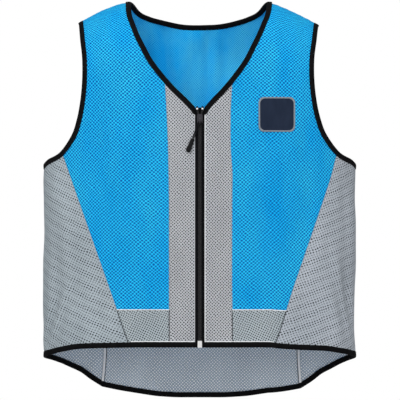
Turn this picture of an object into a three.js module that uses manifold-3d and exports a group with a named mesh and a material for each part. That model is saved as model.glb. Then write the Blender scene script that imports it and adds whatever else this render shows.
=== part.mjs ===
// A sleeveless zipped cooling vest of knitted mesh cloth, as it stands when it is worn.
//
// Millimetres. +X is the wearer's left, the front faces -Y and +Z is up. The origin lies between the
// shoulders, level with the inside of the cloth at the neck points, where the vest hangs on its wearer.
// "right" and "left" in the names are the wearer's.
import * as THREE from 'three'
import Module from 'manifold-3d'
import { mergeVertices } from 'three/addons/utils/BufferGeometryUtils.js'

const wasm = await Module()
wasm.setup()

// Body of the vest
const halfWidth = 260 // centre to side
const halfDepth = 88 // centre to front or back
const sideFullness = 0.35 // how squarely the section turns into the sides
const shoulderRoll = 110 // height over which front and back roll into the shoulder
const neckHalfWidth = 115
const shoulderHalfWidth = 203
const shoulderTipFall = 36 // from neck point to shoulder tip
const shoulderCurve = 1.55
const leftShoulderSag = 6 // how much lower the left shoulder lies
const leftSway = 8 // how far the left side's seams lie off the right side's mirror image
const frontNeckDepth = 178
const backNeckDepth = 33.5
const armholeDepth = 270 // from neck point to underarm
const frontLength = 571 // from neck point to front hem
const backLength = 667 // from neck point to tail
const hemPanelHeight = 61.5 // of the panels between the blue body and the front hem
const facingHalfWidth = 50 // centre to the seam between facing and blue body
const frontSeamFoot = 114 // centre to the foot of the front side seam
const backSeamFoot = 166.5 // centre to the foot of the back side seam

// Cloth and binding
const panelWall = 2.0 // blue absorbent mesh
const meshWall = 1.4 // grey mesh
const clearance = 0.3 // between neighbouring pieces
const bindingWidth = 8.5
const bindingWall = 0.8
const bindingEase = 0.4 // between a binding's legs and the cloth that they clasp
const foldWall = 0.9 // of the binding at its fold

// Zip
const zipOpening = 7.75 // centre to the facing's edge
const tapeHalfWidth = 15
const tapeWall = 0.8
const coilWidth = 2.95 // of one half
const coilHeight = 2.0
const coilGap = 0.15 // from the centre to each closed coil
const stopLength = 2.4
const stopRise = 0.5 // of a stop above the coil
const stopDrop = 1.6 // from the neck's foot to the stops
const stopSpread = 2.7 // of each half from its closed place at the stops
const sliderSpread = 1.4 // of each half where it enters the slider
const sliderDrop = 11.5 // from the neck's foot to the slider
const sliderLength = 15
const sliderPlate = 1.1
const flangeWall = 0.8
const flangeLength = 6.5
const diamondHalfWidth = 0.9
const diamondLength = 5.5
const bridgeSpan = 8
const bridgeRise = 2.8
const bridgeWall = 1.2
const bridgeHalfWidth = 1.3
const boxHalfWidth = 3.5
const boxLength = 11
const boxRise = 0.9 // of the box over the facing

// Puller
const pullTilt = 21.4 // degrees from straight down, towards the wearer's right
const cordDiameter = 1.8
const cordDrop = 30.3 // from the bridge to the grip
const gripLength = 24
const gripNeckWidth = 7
const gripEndWidth = 8.6
const gripThickness = 3.6

// Chest patch
const patchWidth = 60
const patchHeight = 57
const patchCorner = 9
const patchOut = 126 // centre of the vest to centre of the patch
const patchDrop = 190
const patchWall = 0.8

// How many flat strips each stretch of a seam or edge is divided into
const stripCounts = {
  shoulder: 5, backNeck: 10, neckToFacing: 5, armhole: 8, underarm: 6,
  frontSeam: 7, hemPanel: 2, facingTop: 3, sideBack: 6,
}
const { frontSeam } = stripCounts
const facingSeamStrips = stripCounts.armhole + frontSeam - stripCounts.neckToFacing

const blue = { color: 0x269bd6, roughness: 0.85 }
const grey = { color: 0x9ea1a8, roughness: 0.85 }
const sideGrey = { color: 0x939ca3, roughness: 0.85 }
const black = { color: 0x191919, roughness: 0.7 }
const blackPlastic = { color: 0x232325, roughness: 0.45 }
const nickel = { color: 0xdcdcdc, roughness: 0.3, metalness: 0.9 }
const navy = { color: 0x1b2029, roughness: 0.8 }

// Edge of the armhole from the shoulder tip to the underarm. out: share of the way from the shoulder's
// half width to the body's. down: share of the way from the shoulder tip to the underarm.
const ARMHOLE = [
  { out: 0, down: 0 },
  { out: -0.09, down: 0.12 },
  { out: -0.165, down: 0.27 },
  { out: -0.165, down: 0.43 },
  { out: -0.1, down: 0.58 },
  { out: 0.0, down: 0.7 },
  { out: 0.13, down: 0.795 },
  { out: 0.45, down: 0.91, seam: true },
  { out: 0.85, down: 0.968 },
  { out: 1, down: 1 },
]
// Edge of the neck down the front. out: share of the neck's half width. down: share of the V's depth.
const V_NECK = [
  { out: 1, down: 0 },
  { out: 0.975, down: 0.13 },
  { out: 0.93, down: 0.215 },
  { out: 0.86, down: 0.33 },
  { out: 0.79, down: 0.42 },
  { out: 0.68, down: 0.555 },
  { out: 0.5, down: 0.71, seam: true },
  { out: 0.34, down: 0.825 },
  { out: 0.195, down: 0.915 },
]
// Edge of the neck across the back, from the neck point to the centre.
const BACK_NECK = [
  { out: 1, down: 0 },
  { out: 0.87, down: 0.39 },
  { out: 0.73, down: 0.615 },
  { out: 0.58, down: 0.77 },
  { out: 0.42, down: 0.9 },
  { out: 0.25, down: 0.985 },
  { out: 0, down: 1 },
]
// Seam of the facing. down: share of the seam's height. way: share of the way to its straight stretch.
const FACING_SEAM = [
  { down: 0, way: 0 },
  { down: 0.12, way: 0.45 },
  { down: 0.3, way: 0.85 },
  { down: 0.5, way: 1 },
  { down: 1, way: 1 },
]
// Back side seam. down: share of the seam's height. way: share of the way in from the armhole to its foot.
const BACK_SEAM = [
  { down: 0, way: 0 },
  { down: 0.15, way: 0.37 },
  { down: 0.35, way: 0.69 },
  { down: 0.6, way: 0.945 },
  { down: 0.84, way: 1.07 },
  { down: 1, way: 1 },
]
// Height of the hem. turn: degrees round from the front centre. fall: share of the way from the front
// length to the back length. The hem has a corner where the tail begins, at the back side seam.
const HEM_FRONT = [
  { turn: 0, fall: 0 },
  { turn: 20, fall: 0 },
  { turn: 37, fall: 0.015 },
  { turn: 49, fall: 0.035 },
  { turn: 62, fall: 0.1 },
  { turn: 75, fall: 0.165 },
  { turn: 90, fall: 0.23 },
  { turn: 104, fall: 0.285 },
  { turn: 115, fall: 0.36 },
  { turn: 122, fall: 0.44 },
  { turn: 128.5, fall: 0.53 },
  { turn: 134, fall: 0.66 },
  { turn: 140.2, fall: 0.8 },
]
const HEM_TAIL = [
  { turn: 140.2, fall: 0.8 },
  { turn: 148.5, fall: 0.87 },
  { turn: 157, fall: 0.93 },
  { turn: 165, fall: 0.98 },
  { turn: 173, fall: 1 },
  { turn: 180, fall: 1 },
]
// How the left side's seams and edges lie off the right side's mirror image. down: share of the front
// length. out: share of the left side's sway, and less than nothing towards the centre.
const SWAY = [
  { down: 0, out: -0.4 },
  { down: 0.12, out: -0.85 },
  { down: 0.3, out: -0.9 },
  { down: 0.42, out: -0.4 },
  { down: 0.52, out: 0.6 },
  { down: 0.8, out: 0.55 },
  { down: 1, out: 0.9 },
  { down: 1.17, out: 0.75 },
]
// Sag of the left shoulder. out: share of the way from neck point to tip. sag: share of its sag.
const SHOULDER_SAG = [
  { out: 0, sag: 0 },
  { out: 0.1, sag: 0.35 },
  { out: 0.5, sag: 0.95 },
  { out: 1, sag: 1 },
]
// Depth of the body. down: share of the front length. depth: share of the half depth.
const BODY = [
  { down: 0, depth: 0.93 },
  { down: 0.35, depth: 1 },
  { down: 0.7, depth: 0.97 },
  { down: 1, depth: 1.02 },
  { down: 1.17, depth: 1.04 },
]
// Soft folds. turn: degrees round to the fold's middle. down: share of the front length. lean: degrees
// off straight down. long: share of the front length. wide: share of the half width. deep: share of the
// half depth, and less than nothing for a hollow.
const FOLDS = [
  { turn: -172, down: 0.2, lean: 18, long: 0.17, wide: 0.07, deep: -0.05 },
  { turn: -160, down: 0.19, lean: 20, long: 0.16, wide: 0.08, deep: 0.045 },
  { turn: 168, down: 0.17, lean: -38, long: 0.15, wide: 0.09, deep: 0.045 },
  { turn: 152, down: 0.33, lean: -12, long: 0.22, wide: 0.1, deep: -0.05 },
  { turn: -150, down: 0.45, lean: 8, long: 0.24, wide: 0.1, deep: -0.05 },
  { turn: 176, down: 0.75, lean: 4, long: 0.3, wide: 0.11, deep: 0.04 },
  { turn: -161, down: 1.0, lean: -4, long: 0.25, wide: 0.09, deep: -0.035 },
  { turn: 158, down: 1.02, lean: 5, long: 0.25, wide: 0.09, deep: -0.035 },
  { turn: -69, down: 0.9, lean: -7, long: 0.17, wide: 0.07, deep: -0.05 },
  { turn: 72, down: 0.86, lean: 8, long: 0.17, wide: 0.07, deep: -0.045 },
  { turn: -112, down: 0.72, lean: 5, long: 0.25, wide: 0.08, deep: -0.05 },
  { turn: 114, down: 0.76, lean: -5, long: 0.25, wide: 0.08, deep: -0.05 },
  { turn: -26, down: 0.93, lean: -4, long: 0.16, wide: 0.08, deep: 0.03 },
  { turn: 28, down: 0.9, lean: 5, long: 0.16, wide: 0.08, deep: 0.03 },
  { turn: -40, down: 0.5, lean: 14, long: 0.16, wide: 0.09, deep: -0.03 },
  { turn: 43, down: 0.55, lean: -13, long: 0.16, wide: 0.09, deep: -0.03 },
]

const crossSeamDrop = frontLength - hemPanelHeight
const quarter = Math.PI / 2
const radians = THREE.MathUtils.degToRad
const lerp = THREE.MathUtils.lerp
const hipRound = halfWidth * 0.8 // girth for one radian of turn, over which a fold's width is measured

// A smooth, never overshooting curve through a table: the value in one column at a place in another.
function readTable(rows, at, value, x) {
  const last = rows.length - 1
  const slopeOf = (i) => (rows[i + 1][value] - rows[i][value]) / (rows[i + 1][at] - rows[i][at])
  const tangent = (i) => {
    if (i === 0) return slopeOf(0)
    if (i === last) return slopeOf(last - 1)
    const before = slopeOf(i - 1)
    const after = slopeOf(i)
    return before * after <= 0 ? 0 : (2 * before * after) / (before + after)
  }
  if (x <= rows[0][at]) return rows[0][value]
  if (x >= rows[last][at]) return rows[last][value]
  const i = rows.findIndex((row, k) => k < last && x <= rows[k + 1][at])
  const span = rows[i + 1][at] - rows[i][at]
  const t = (x - rows[i][at]) / span
  const keep = (1 + 2 * t) * (1 - t) ** 2
  return rows[i][value] * keep + rows[i + 1][value] * (1 - keep)
    + span * (tangent(i) * t * (1 - t) ** 2 - tangent(i + 1) * t * t * (1 - t))
}

const overShoulder = (x) => Math.max(0, Math.abs(x) - neckHalfWidth) / (shoulderHalfWidth - neckHalfWidth)

// The shoulder line falls away from the neck point to the tip.
const shoulderFall = (x) => shoulderTipFall * overShoulder(x) ** shoulderCurve

function shoulderSag(x, roll) {
  if (x < 0) return 0
  return leftShoulderSag * readTable(SHOULDER_SAG, 'out', 'sag', overShoulder(x)) * Math.cos(roll)
}

// The outside of the vest without its folds. turn: radians round from the front centre. along: distance
// down over the shoulder's roll and then straight down.
function shell(turn, along) {
  const out = Math.sin(turn)
  const roll = Math.min(along / shoulderRoll, quarter)
  const drop = shoulderRoll * (1 - Math.cos(roll)) + Math.max(0, along - shoulderRoll * quarter)
  const x = halfWidth * out
  const down = shoulderFall(x) + shoulderSag(x, roll) + drop
  const body = halfDepth * readTable(BODY, 'down', 'depth', down / frontLength)
  const depth = body * (1 + sideFullness * out * out) * Math.sin(roll)
  return new THREE.Vector3(x, -Math.cos(turn) * depth, panelWall - down)
}

function normalOf(surface, turn, along) {
  const [turnStep, alongStep] = [1e-3, 0.1]
  const acrossway = surface(turn + turnStep, along).sub(surface(turn - turnStep, along))
  const downway = surface(turn, along + alongStep).sub(surface(turn, along - alongStep))
  acrossway.divideScalar(2 * turnStep)
  downway.divideScalar(2 * alongStep)
  return { acrossway, downway, n: downway.clone().cross(acrossway).normalize() }
}

function foldHeight(turn, z) {
  let height = 0
  for (const fold of FOLDS) {
    const gap = turn - radians(fold.turn)
    const round = Math.atan2(Math.sin(gap), Math.cos(gap)) * hipRound
    const below = panelWall - fold.down * frontLength - z
    const lean = radians(fold.lean)
    const across = round * Math.cos(lean) - below * Math.sin(lean)
    const lengthways = round * Math.sin(lean) + below * Math.cos(lean)
    height += fold.deep * halfDepth
      * Math.exp(-((across / (fold.wide * halfWidth)) ** 2) - (lengthways / (fold.long * frontLength)) ** 2)
  }
  return height
}

function draped(turn, along) {
  const point = shell(turn, along)
  return point.addScaledVector(normalOf(shell, turn, along).n, foldHeight(turn, point.z))
}

// A node is a point of the outside, with the way out of the cloth there.
function node({ turn, along }) {
  return { p: draped(turn, along), ...normalOf(draped, turn, along), turn, along }
}

function mix(a, b, share) {
  return {
    p: a.p.clone().lerp(b.p, share),
    n: a.n.clone().lerp(b.n, share).normalize(),
    bound: Boolean(a.bound && b.bound),
  }
}

// The place on the cloth at a distance out from the centre and down from the neck point.
function place(x, down, back = false) {
  const drop = Math.max(0, down - shoulderFall(x))
  const along = drop < shoulderRoll
    ? shoulderRoll * Math.acos(1 - drop / shoulderRoll)
    : shoulderRoll * quarter + drop - shoulderRoll
  const turn = Math.asin(Math.max(-1, Math.min(1, x / halfWidth)))
  return { turn: back ? Math.PI - turn : turn, along }
}

const downAt = ({ turn, along }) => panelWall - shell(turn, along).z
const mirrored = ({ turn, along }) => ({ turn: -turn, along })

// Moves a place of the left side by its sway, and leaves the centre and the far side where they are.
function swayed({ turn, along }) {
  const x = halfWidth * Math.sin(turn)
  if (x <= zipOpening || Math.abs(Math.cos(turn)) < 1e-6) return { turn, along }
  const wave = Math.sin((Math.PI * (x - zipOpening)) / (halfWidth - zipOpening))
  const shift = leftSway * readTable(SWAY, 'down', 'out', downAt({ turn, along }) / frontLength) * wave
  return { turn: turn + shift / (halfWidth * Math.cos(turn)), along }
}
const onSide = (side, points) => points.map(side < 0 ? mirrored : swayed)
const onBack = (points) => points.map((point) => (point.turn < Math.PI ? swayed(point) : point))
const toBack = ({ turn, along }) => ({ turn: Math.PI - turn, along })

// Splits a smooth line through places of the cloth into strips of one length, between two of its places.
function divide(places, from, to, strips) {
  const curve = new THREE.CatmullRomCurve3(
    places.map(({ turn, along }) => new THREE.Vector3(turn * halfWidth, along, 0)), false, 'centripetal',
  )
  const fine = []
  const samples = 240
  for (let i = 0; i <= samples; i++) {
    fine.push(curve.getPoint(lerp(from, to, i / samples) / (places.length - 1)))
  }
  const length = [0]
  for (let i = 1; i <= samples; i++) length.push(length[i - 1] + fine[i].distanceTo(fine[i - 1]))
  const points = []
  for (let k = 0; k <= strips; k++) {
    const wanted = (length[samples] * k) / strips
    const i = Math.min(samples, Math.max(1, length.findIndex((l) => l >= wanted - 1e-9)))
    const share = (wanted - length[i - 1]) / (length[i] - length[i - 1])
    const at = fine[i - 1].clone().lerp(fine[i], Math.min(1, Math.max(0, share)))
    points.push({ turn: at.x / halfWidth, along: at.y })
  }
  return points
}

const join = (...stretches) => stretches.reduce((all, next) => all.concat(next.slice(1)))
const reversed = (points) => [...points].reverse()
const seamRow = (rows) => rows.findIndex((row) => row.seam)

// Edges of the cloth on the wearer's left
const armholePlaces = ARMHOLE.map(({ out, down }) => place(
  lerp(shoulderHalfWidth, halfWidth, out), lerp(shoulderTipFall, armholeDepth, down),
))
const armholeEdge = divide(armholePlaces, 0, seamRow(ARMHOLE), stripCounts.armhole)
const underarmEdge = divide(armholePlaces, seamRow(ARMHOLE), ARMHOLE.length - 1, stripCounts.underarm)
const neckPlaces = V_NECK.map(({ out, down }) => place(neckHalfWidth * out, frontNeckDepth * down))
neckPlaces.push(place(zipOpening, frontNeckDepth))
const neckEdge = divide(neckPlaces, 0, seamRow(V_NECK), stripCounts.neckToFacing)
const facingTop = divide(neckPlaces, seamRow(V_NECK), neckPlaces.length - 1, stripCounts.facingTop)
const backNeckPlaces = BACK_NECK.map(({ out, down }) => place(neckHalfWidth * out, backNeckDepth * down, true))
const backNeckEdge = divide(backNeckPlaces, 0, BACK_NECK.length - 1, stripCounts.backNeck / 2)
const shoulderSeam = divide(
  [armholeEdge[0], neckEdge[0]].map(({ turn }) => ({ turn, along: 0 })), 0, 1, stripCounts.shoulder,
)

function hemPlace(turnDegrees, rows) {
  const turn = radians(turnDegrees)
  const down = lerp(frontLength, backLength, readTable(rows, 'turn', 'fall', turnDegrees))
  return { turn, along: place(halfWidth * Math.sin(turn), down).along }
}

function hemEdge(fromTurn, toTurn, strips, rows) {
  return Array.from({ length: strips + 1 }, (_, k) => hemPlace(lerp(fromTurn, toTurn, k / strips), rows))
}

// Seams of the cloth on the wearer's left, each from its top to its foot on the hem
function seam(top, foot, crossStrips, hemStrips, wayOf, back = false) {
  const [topX, footX] = [top, foot].map(({ turn }) => halfWidth * Math.sin(turn))
  const [topDown, footDown] = [downAt(top), downAt(foot)]
  const downs = []
  for (let k = 0; k <= crossStrips; k++) downs.push(lerp(topDown, crossSeamDrop, k / crossStrips))
  for (let k = 1; k <= hemStrips; k++) downs.push(lerp(crossSeamDrop, footDown, k / hemStrips))
  return downs.map((down, k) => {
    if (k === 0) return top
    if (k === downs.length - 1) return foot
    return place(lerp(topX, footX, wayOf((down - topDown) / (footDown - topDown))), down, back)
  })
}

const turnAt = (x) => THREE.MathUtils.radToDeg(Math.asin(x / halfWidth))
const straight = (share) => share
const seamTop = underarmEdge[0]
const facingSeam = seam(
  facingTop[0], hemPlace(turnAt(facingHalfWidth), HEM_FRONT), facingSeamStrips, stripCounts.hemPanel,
  (share) => readTable(FACING_SEAM, 'down', 'way', share),
)
const frontSideSeam = seam(
  seamTop, hemPlace(turnAt(frontSeamFoot), HEM_FRONT), frontSeam, stripCounts.hemPanel, straight,
)
const backSideSeam = seam(
  toBack(seamTop), hemPlace(180 - turnAt(backSeamFoot), HEM_TAIL), frontSeam, stripCounts.hemPanel,
  (share) => readTable(BACK_SEAM, 'down', 'way', share), true,
)
const zipEdge = seam(
  facingTop.at(-1), hemPlace(turnAt(zipOpening), HEM_FRONT), facingSeamStrips, stripCounts.hemPanel, straight,
)
const hemFacing = hemEdge(turnAt(facingHalfWidth), turnAt(zipOpening), stripCounts.facingTop, HEM_FRONT)
const hemFront = hemEdge(turnAt(frontSeamFoot), turnAt(facingHalfWidth), stripCounts.shoulder, HEM_FRONT)
const hemSide = join(
  hemEdge(turnAt(frontSeamFoot), 90, stripCounts.underarm, HEM_FRONT),
  hemEdge(90, 180 - turnAt(backSeamFoot), stripCounts.sideBack, HEM_FRONT),
)
hemSide[hemSide.length - 1] = backSideSeam.at(-1)
const tailStrips = 2 * stripCounts.shoulder + stripCounts.backNeck
const hemTail = hemEdge(180 - turnAt(backSeamFoot), 180 + turnAt(backSeamFoot), tailStrips, HEM_TAIL)
hemTail.forEach((point, k) => {
  if (2 * k > tailStrips) Object.assign(point, { along: hemTail[tailStrips - k].along })
})

// A station is a place on a bound edge: e on the very edge of the binding, and m further into the cloth,
// beyond the binding. Where a seam meets the edge, m lies on the seam.
const bindingReach = bindingWidth + 1
const clothInset = (foldWall + clearance) / bindingReach

function stations(places, inward, seams = {}) {
  const edge = places.map(node)
  return edge.map((e, k) => {
    const along = edge[Math.min(k + 1, edge.length - 1)].p.clone().sub(edge[Math.max(k - 1, 0)].p).normalize()
    if (seams[k]) {
      const next = node(seams[k])
      const way = next.p.clone().sub(e.p)
      const slant = way.clone().normalize().cross(along).length()
      return { e, m: mix(e, next, bindingReach / (way.length() * slant)) }
    }
    const into = e.n.clone().cross(along).multiplyScalar(inward * bindingReach)
    const [uu, uv, vv] = [e.acrossway.lengthSq(), e.acrossway.dot(e.downway), e.downway.lengthSq()]
    const [ui, vi] = [e.acrossway.dot(into), e.downway.dot(into)]
    const square = uu * vv - uv * uv
    return {
      e,
      m: node({ turn: e.turn + (ui * vv - vi * uv) / square, along: e.along + (vi * uu - ui * uv) / square }),
    }
  })
}

// Fills the space between four edges with rows of places, top to bottom.
function fill({ top, bottom, left, right }) {
  const rows = left.length - 1
  const columns = top.length - 1
  return left.map((_, i) => top.map((__, j) => {
    const [t, s] = [i / rows, j / columns]
    const blend = (key) => lerp(left[i][key], right[i][key], s) + lerp(top[j][key], bottom[j][key], t)
      - lerp(lerp(top[0][key], top[columns][key], s), lerp(bottom[0][key], bottom[columns][key], s), t)
    return node({ turn: blend('turn'), along: blend('along') })
  }))
}

const transposed = (grid) => grid[0].map((_, j) => grid.map((row) => row[j]))
const flipped = (grid) => grid.map((row) => [...row].reverse())

// Sets the grid's first column inside a binding, with a column at the binding's reach beside it.
function bindLeft(grid, bound, first = 0) {
  return grid.map((row, i) => {
    const station = bound[i - first]
    if (!station) {
      const reach = bindingReach / row[0].p.distanceTo(row[1].p)
      return [row[0], mix(row[0], row[1], reach), ...row.slice(1)]
    }
    const edge = mix(station.e, station.m, clothInset)
    edge.bound = true
    return [edge, station.m, ...row.slice(1)]
  })
}
const bindRight = (grid, bound, first) => flipped(bindLeft(flipped(grid), bound, first))
const bindTop = (grid, bound, first) => transposed(bindLeft(transposed(grid), bound, first))
const bindBottom = (grid, bound, first) => transposed(bindRight(transposed(grid), bound, first))

// Two triangles for each cell of a grid, without the slivers where a seam runs into a bound edge.
function gridTriangles(grid) {
  const columns = grid[0].length
  const nodes = grid.flat()
  const sliver = 0.5
  const triangles = []
  const area = ([a, b, c]) => new THREE.Triangle(nodes[a].p, nodes[b].p, nodes[c].p).getArea()
  for (let i = 0; i + 1 < grid.length; i++) {
    for (let j = 0; j + 1 < columns; j++) {
      const a = i * columns + j
      const [b, c, d] = [a + 1, a + columns + 1, a + columns]
      const splits = [[[a, b, c], [a, c, d]], [[a, b, d], [b, c, d]]]
      const thin = splits.find((pair) => pair.some((t) => area(t) < sliver))
      const short = nodes[a].p.distanceTo(nodes[c].p) <= nodes[b].p.distanceTo(nodes[d].p) ? 0 : 1
      triangles.push(...(thin ?? splits[short]).filter((t) => area(t) >= sliver))
    }
  }
  return { nodes, triangles }
}

// A closed wall of cloth under the given nodes. Free edges step back from the seam by half its clearance.
function wallOf({ nodes, triangles }, wall, rise = 0) {
  const facing = triangles.reduce((sum, [a, b, c]) => {
    const normal = nodes[b].p.clone().sub(nodes[a].p).cross(nodes[c].p.clone().sub(nodes[a].p))
    return sum + normal.dot(nodes[a].n)
  }, 0)
  const faces = facing < 0 ? triangles.map(([a, b, c]) => [a, c, b]) : triangles
  const edges = new Map()
  for (const [a, b, c] of faces) {
    for (const [from, to] of [[a, b], [b, c], [c, a]]) {
      if (!edges.delete(`${to} ${from}`)) edges.set(`${from} ${to}`, [from, to])
    }
  }
  const rim = [...edges.values()]
  const into = new Map(nodes.map((_, i) => [i, []]))
  for (const [from, to] of rim) {
    const [a, b] = [nodes[from], nodes[to]]
    const inward = a.n.clone().add(b.n).cross(b.p.clone().sub(a.p)).normalize()
    const step = a.bound && b.bound ? 0 : clearance / 2
    into.get(from).push({ inward, step })
    into.get(to).push({ inward, step })
  }
  const outer = nodes.map(({ p, n }, i) => {
    const point = p.clone().addScaledVector(n, rise)
    const [one, two] = into.get(i)
    if (!two) return point
    const along = one.inward.dot(two.inward)
    if (along > 0.98) return point.addScaledVector(one.inward, Math.max(one.step, two.step))
    const square = 1 - along * along
    return point.addScaledVector(one.inward, (one.step - along * two.step) / square)
      .addScaledVector(two.inward, (two.step - along * one.step) / square)
  })
  const inner = nodes.map(({ n }, i) => outer[i].clone().addScaledVector(n, -wall))
  const count = nodes.length
  const index = []
  for (const [a, b, c] of faces) index.push(a, b, c, a + count, c + count, b + count)
  for (const [a, b] of rim) index.push(b, a, a + count, b, a + count, b + count)
  return closed([...outer, ...inner], index)
}

function closed(points, index) {
  const geometry = new THREE.BufferGeometry().setFromPoints(points)
  geometry.setIndex(index)
  const merged = mergeVertices(geometry, 1e-4)
  merged.computeVertexNormals()
  return merged
}

// A band of one cross-section: the same ring of points at every station, with flat ends or none. leans:
// for each span, whether its faces are split from the section's inner side here to its outer side next.
function bandOf(rings, section, ringClosed, leans = []) {
  const size = section.length
  const index = []
  const spans = ringClosed ? rings.length : rings.length - 1
  for (let k = 0; k < spans; k++) {
    const [here, next] = [k * size, ((k + 1) % rings.length) * size]
    for (let i = 0; i < size; i++) {
      const j = (i + 1) % size
      const outward = section[j].x < section[i].x
      const [a, b, c, d] = [here + i, here + j, next + j, next + i]
      if (Boolean(leans[k]) === outward) index.push(a, b, c, a, c, d)
      else index.push(a, b, d, b, c, d)
    }
  }
  if (!ringClosed) {
    const end = (rings.length - 1) * size
    for (const [a, b, c] of THREE.ShapeUtils.triangulateShape(section, [])) {
      index.push(a, c, b, end + a, end + b, end + c)
    }
  }
  const points = rings.flat()
  let volume = 0
  for (let i = 0; i < index.length; i += 3) {
    volume += points[index[i]].dot(points[index[i + 1]].clone().cross(points[index[i + 2]]))
  }
  return closed(points, volume < 0 ? [...index].reverse() : index)
}

// The folded tape that wraps an edge: a U in section, its fold outside the edge and a leg on each face.
function binding(line, groove, ringClosed = false) {
  const top = bindingEase + bindingWall
  const foot = -groove - bindingEase - bindingWall
  const section = [
    [bindingWidth, top], [foldWall, top], [0, top - foldWall], [0, foot + foldWall],
    [foldWall, foot], [bindingWidth, foot], [bindingWidth, foot + bindingWall],
    [foldWall, foot + bindingWall], [foldWall, top - bindingWall], [bindingWidth, top - bindingWall],
  ].map(([into, up]) => new THREE.Vector2(into, up))
  const rings = line.map(({ e, m }) => section.map(({ x, y }) => {
    const base = mix(e, m, x / bindingReach)
    return base.p.addScaledVector(base.n, y)
  }))
  const leans = line.map((here, k) => {
    const next = line[(k + 1) % line.length]
    const [edge, nextEdge] = [here, next].map(({ e, m }) => mix(e, m, clothInset))
    return here.m.p.distanceTo(nextEdge.p) <= edge.p.distanceTo(next.m.p)
  })
  return bandOf(rings, section, ringClosed, leans)
}

const group = new THREE.Group()
function add(name, geometry, finish) {
  const mesh = new THREE.Mesh(geometry, new THREE.MeshStandardMaterial(finish))
  mesh.name = name
  group.add(mesh)
  return mesh
}

const SIDES = [{ name: 'right', side: -1 }, { name: 'left', side: 1 }]
const zipStack = Math.max(panelWall, meshWall + clearance + tapeWall)

// Stations round each armhole: down the front, under the arm, and up the back to the shoulder again
function armholeStations(side) {
  const front = join(armholeEdge, underarmEdge)
  const back = reversed(front).map(toBack)
  const all = join(front, back).slice(0, -1)
  const count = all.length
  const seams = {
    0: shoulderSeam[1],
    [stripCounts.armhole]: frontSideSeam[1],
    [count - stripCounts.armhole]: backSideSeam[1],
  }
  const wrapped = [all[count - 1], ...all, all[0]]
  const shifted = Object.fromEntries(
    Object.entries(seams).map(([k, point]) => [Number(k) + 1, onSide(side, [point])[0]]),
  )
  return stations(onSide(side, wrapped), -side, shifted).slice(1, -1)
}

function addSide({ name, side }) {
  const armhole = armholeStations(side)
  const count = armhole.length
  const neck = stations(
    onSide(side, join(neckEdge, facingTop)), side,
    Object.fromEntries([
      [0, shoulderSeam.at(-2)], [stripCounts.neckToFacing, facingSeam[1]],
      [stripCounts.neckToFacing + stripCounts.facingTop, zipEdge[1]],
    ].map(([k, point]) => [k, onSide(side, [point])[0]])),
  )
  const hem = stations(
    onSide(side, join(reversed(hemFacing), reversed(hemFront), hemSide)), side,
    Object.fromEntries([
      [0, zipEdge.at(-2)], [stripCounts.facingTop, facingSeam.at(-2)],
      [stripCounts.facingTop + stripCounts.shoulder, frontSideSeam.at(-2)],
      [stripCounts.facingTop + stripCounts.shoulder + stripCounts.underarm + stripCounts.sideBack, backSideSeam.at(-2)],
    ].map(([k, point]) => [k, onSide(side, [point])[0]])),
  )
  const toCross = (line) => line.slice(0, line.length - stripCounts.hemPanel)
  const belowCross = (line) => line.slice(-stripCounts.hemPanel - 1)
  const crossPlace = (turn) => ({ turn, along: place(halfWidth * Math.sin(turn), crossSeamDrop).along })
  const cross = frontSideSeam.at(-stripCounts.hemPanel - 1).turn
  const crossEnd = facingSeam.at(-stripCounts.hemPanel - 1).turn
  const crossSeam = Array.from(
    { length: stripCounts.shoulder + 1 }, (_, k) => crossPlace(lerp(cross, crossEnd, k / stripCounts.shoulder)),
  )
  const sided = (edges) => Object.fromEntries(
    Object.entries(edges).map(([key, line]) => [key, onSide(side, line)]),
  )

  let body = fill(sided({
    top: shoulderSeam, bottom: crossSeam,
    left: toCross(join(armholeEdge, frontSideSeam)), right: toCross(join(neckEdge, facingSeam)),
  }))
  body = bindLeft(body, armhole.slice(0, stripCounts.armhole + 1))
  body = bindRight(body, neck.slice(0, stripCounts.neckToFacing + 1))
  add(`front_panel_${name}`, wallOf(gridTriangles(body), panelWall), blue)

  let facing = fill(sided({ top: facingTop, bottom: hemFacing, left: facingSeam, right: zipEdge }))
  facing = bindTop(facing, neck.slice(stripCounts.neckToFacing))
  facing = bindBottom(facing, reversed(hem.slice(0, stripCounts.facingTop + 1)))
  add(`zip_facing_${name}`, wallOf(gridTriangles(facing), meshWall), grey)

  let foot = fill(sided({
    top: crossSeam, bottom: hemFront, left: belowCross(frontSideSeam), right: belowCross(facingSeam),
  }))
  const hemFrontStations = hem.slice(stripCounts.facingTop, stripCounts.facingTop + stripCounts.shoulder + 1)
  foot = bindBottom(foot, reversed(hemFrontStations))
  add(`front_hem_panel_${name}`, wallOf(gridTriangles(foot), meshWall), grey)

  let flank = fill(sided({
    top: join(underarmEdge, reversed(underarmEdge).map(toBack)), bottom: hemSide,
    left: frontSideSeam, right: backSideSeam,
  }))
  flank = bindTop(flank, armhole.slice(stripCounts.armhole, count - stripCounts.armhole + 1))
  flank = bindBottom(flank, hem.slice(stripCounts.facingTop + stripCounts.shoulder))
  add(`side_panel_${name}`, wallOf(gridTriangles(flank), meshWall), sideGrey)

  add(`armhole_binding_${name}`, binding(armhole, panelWall, true), black)
  return { armhole, neck, hem }
}

const [rightLines, leftLines] = SIDES.map(addSide)

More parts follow.
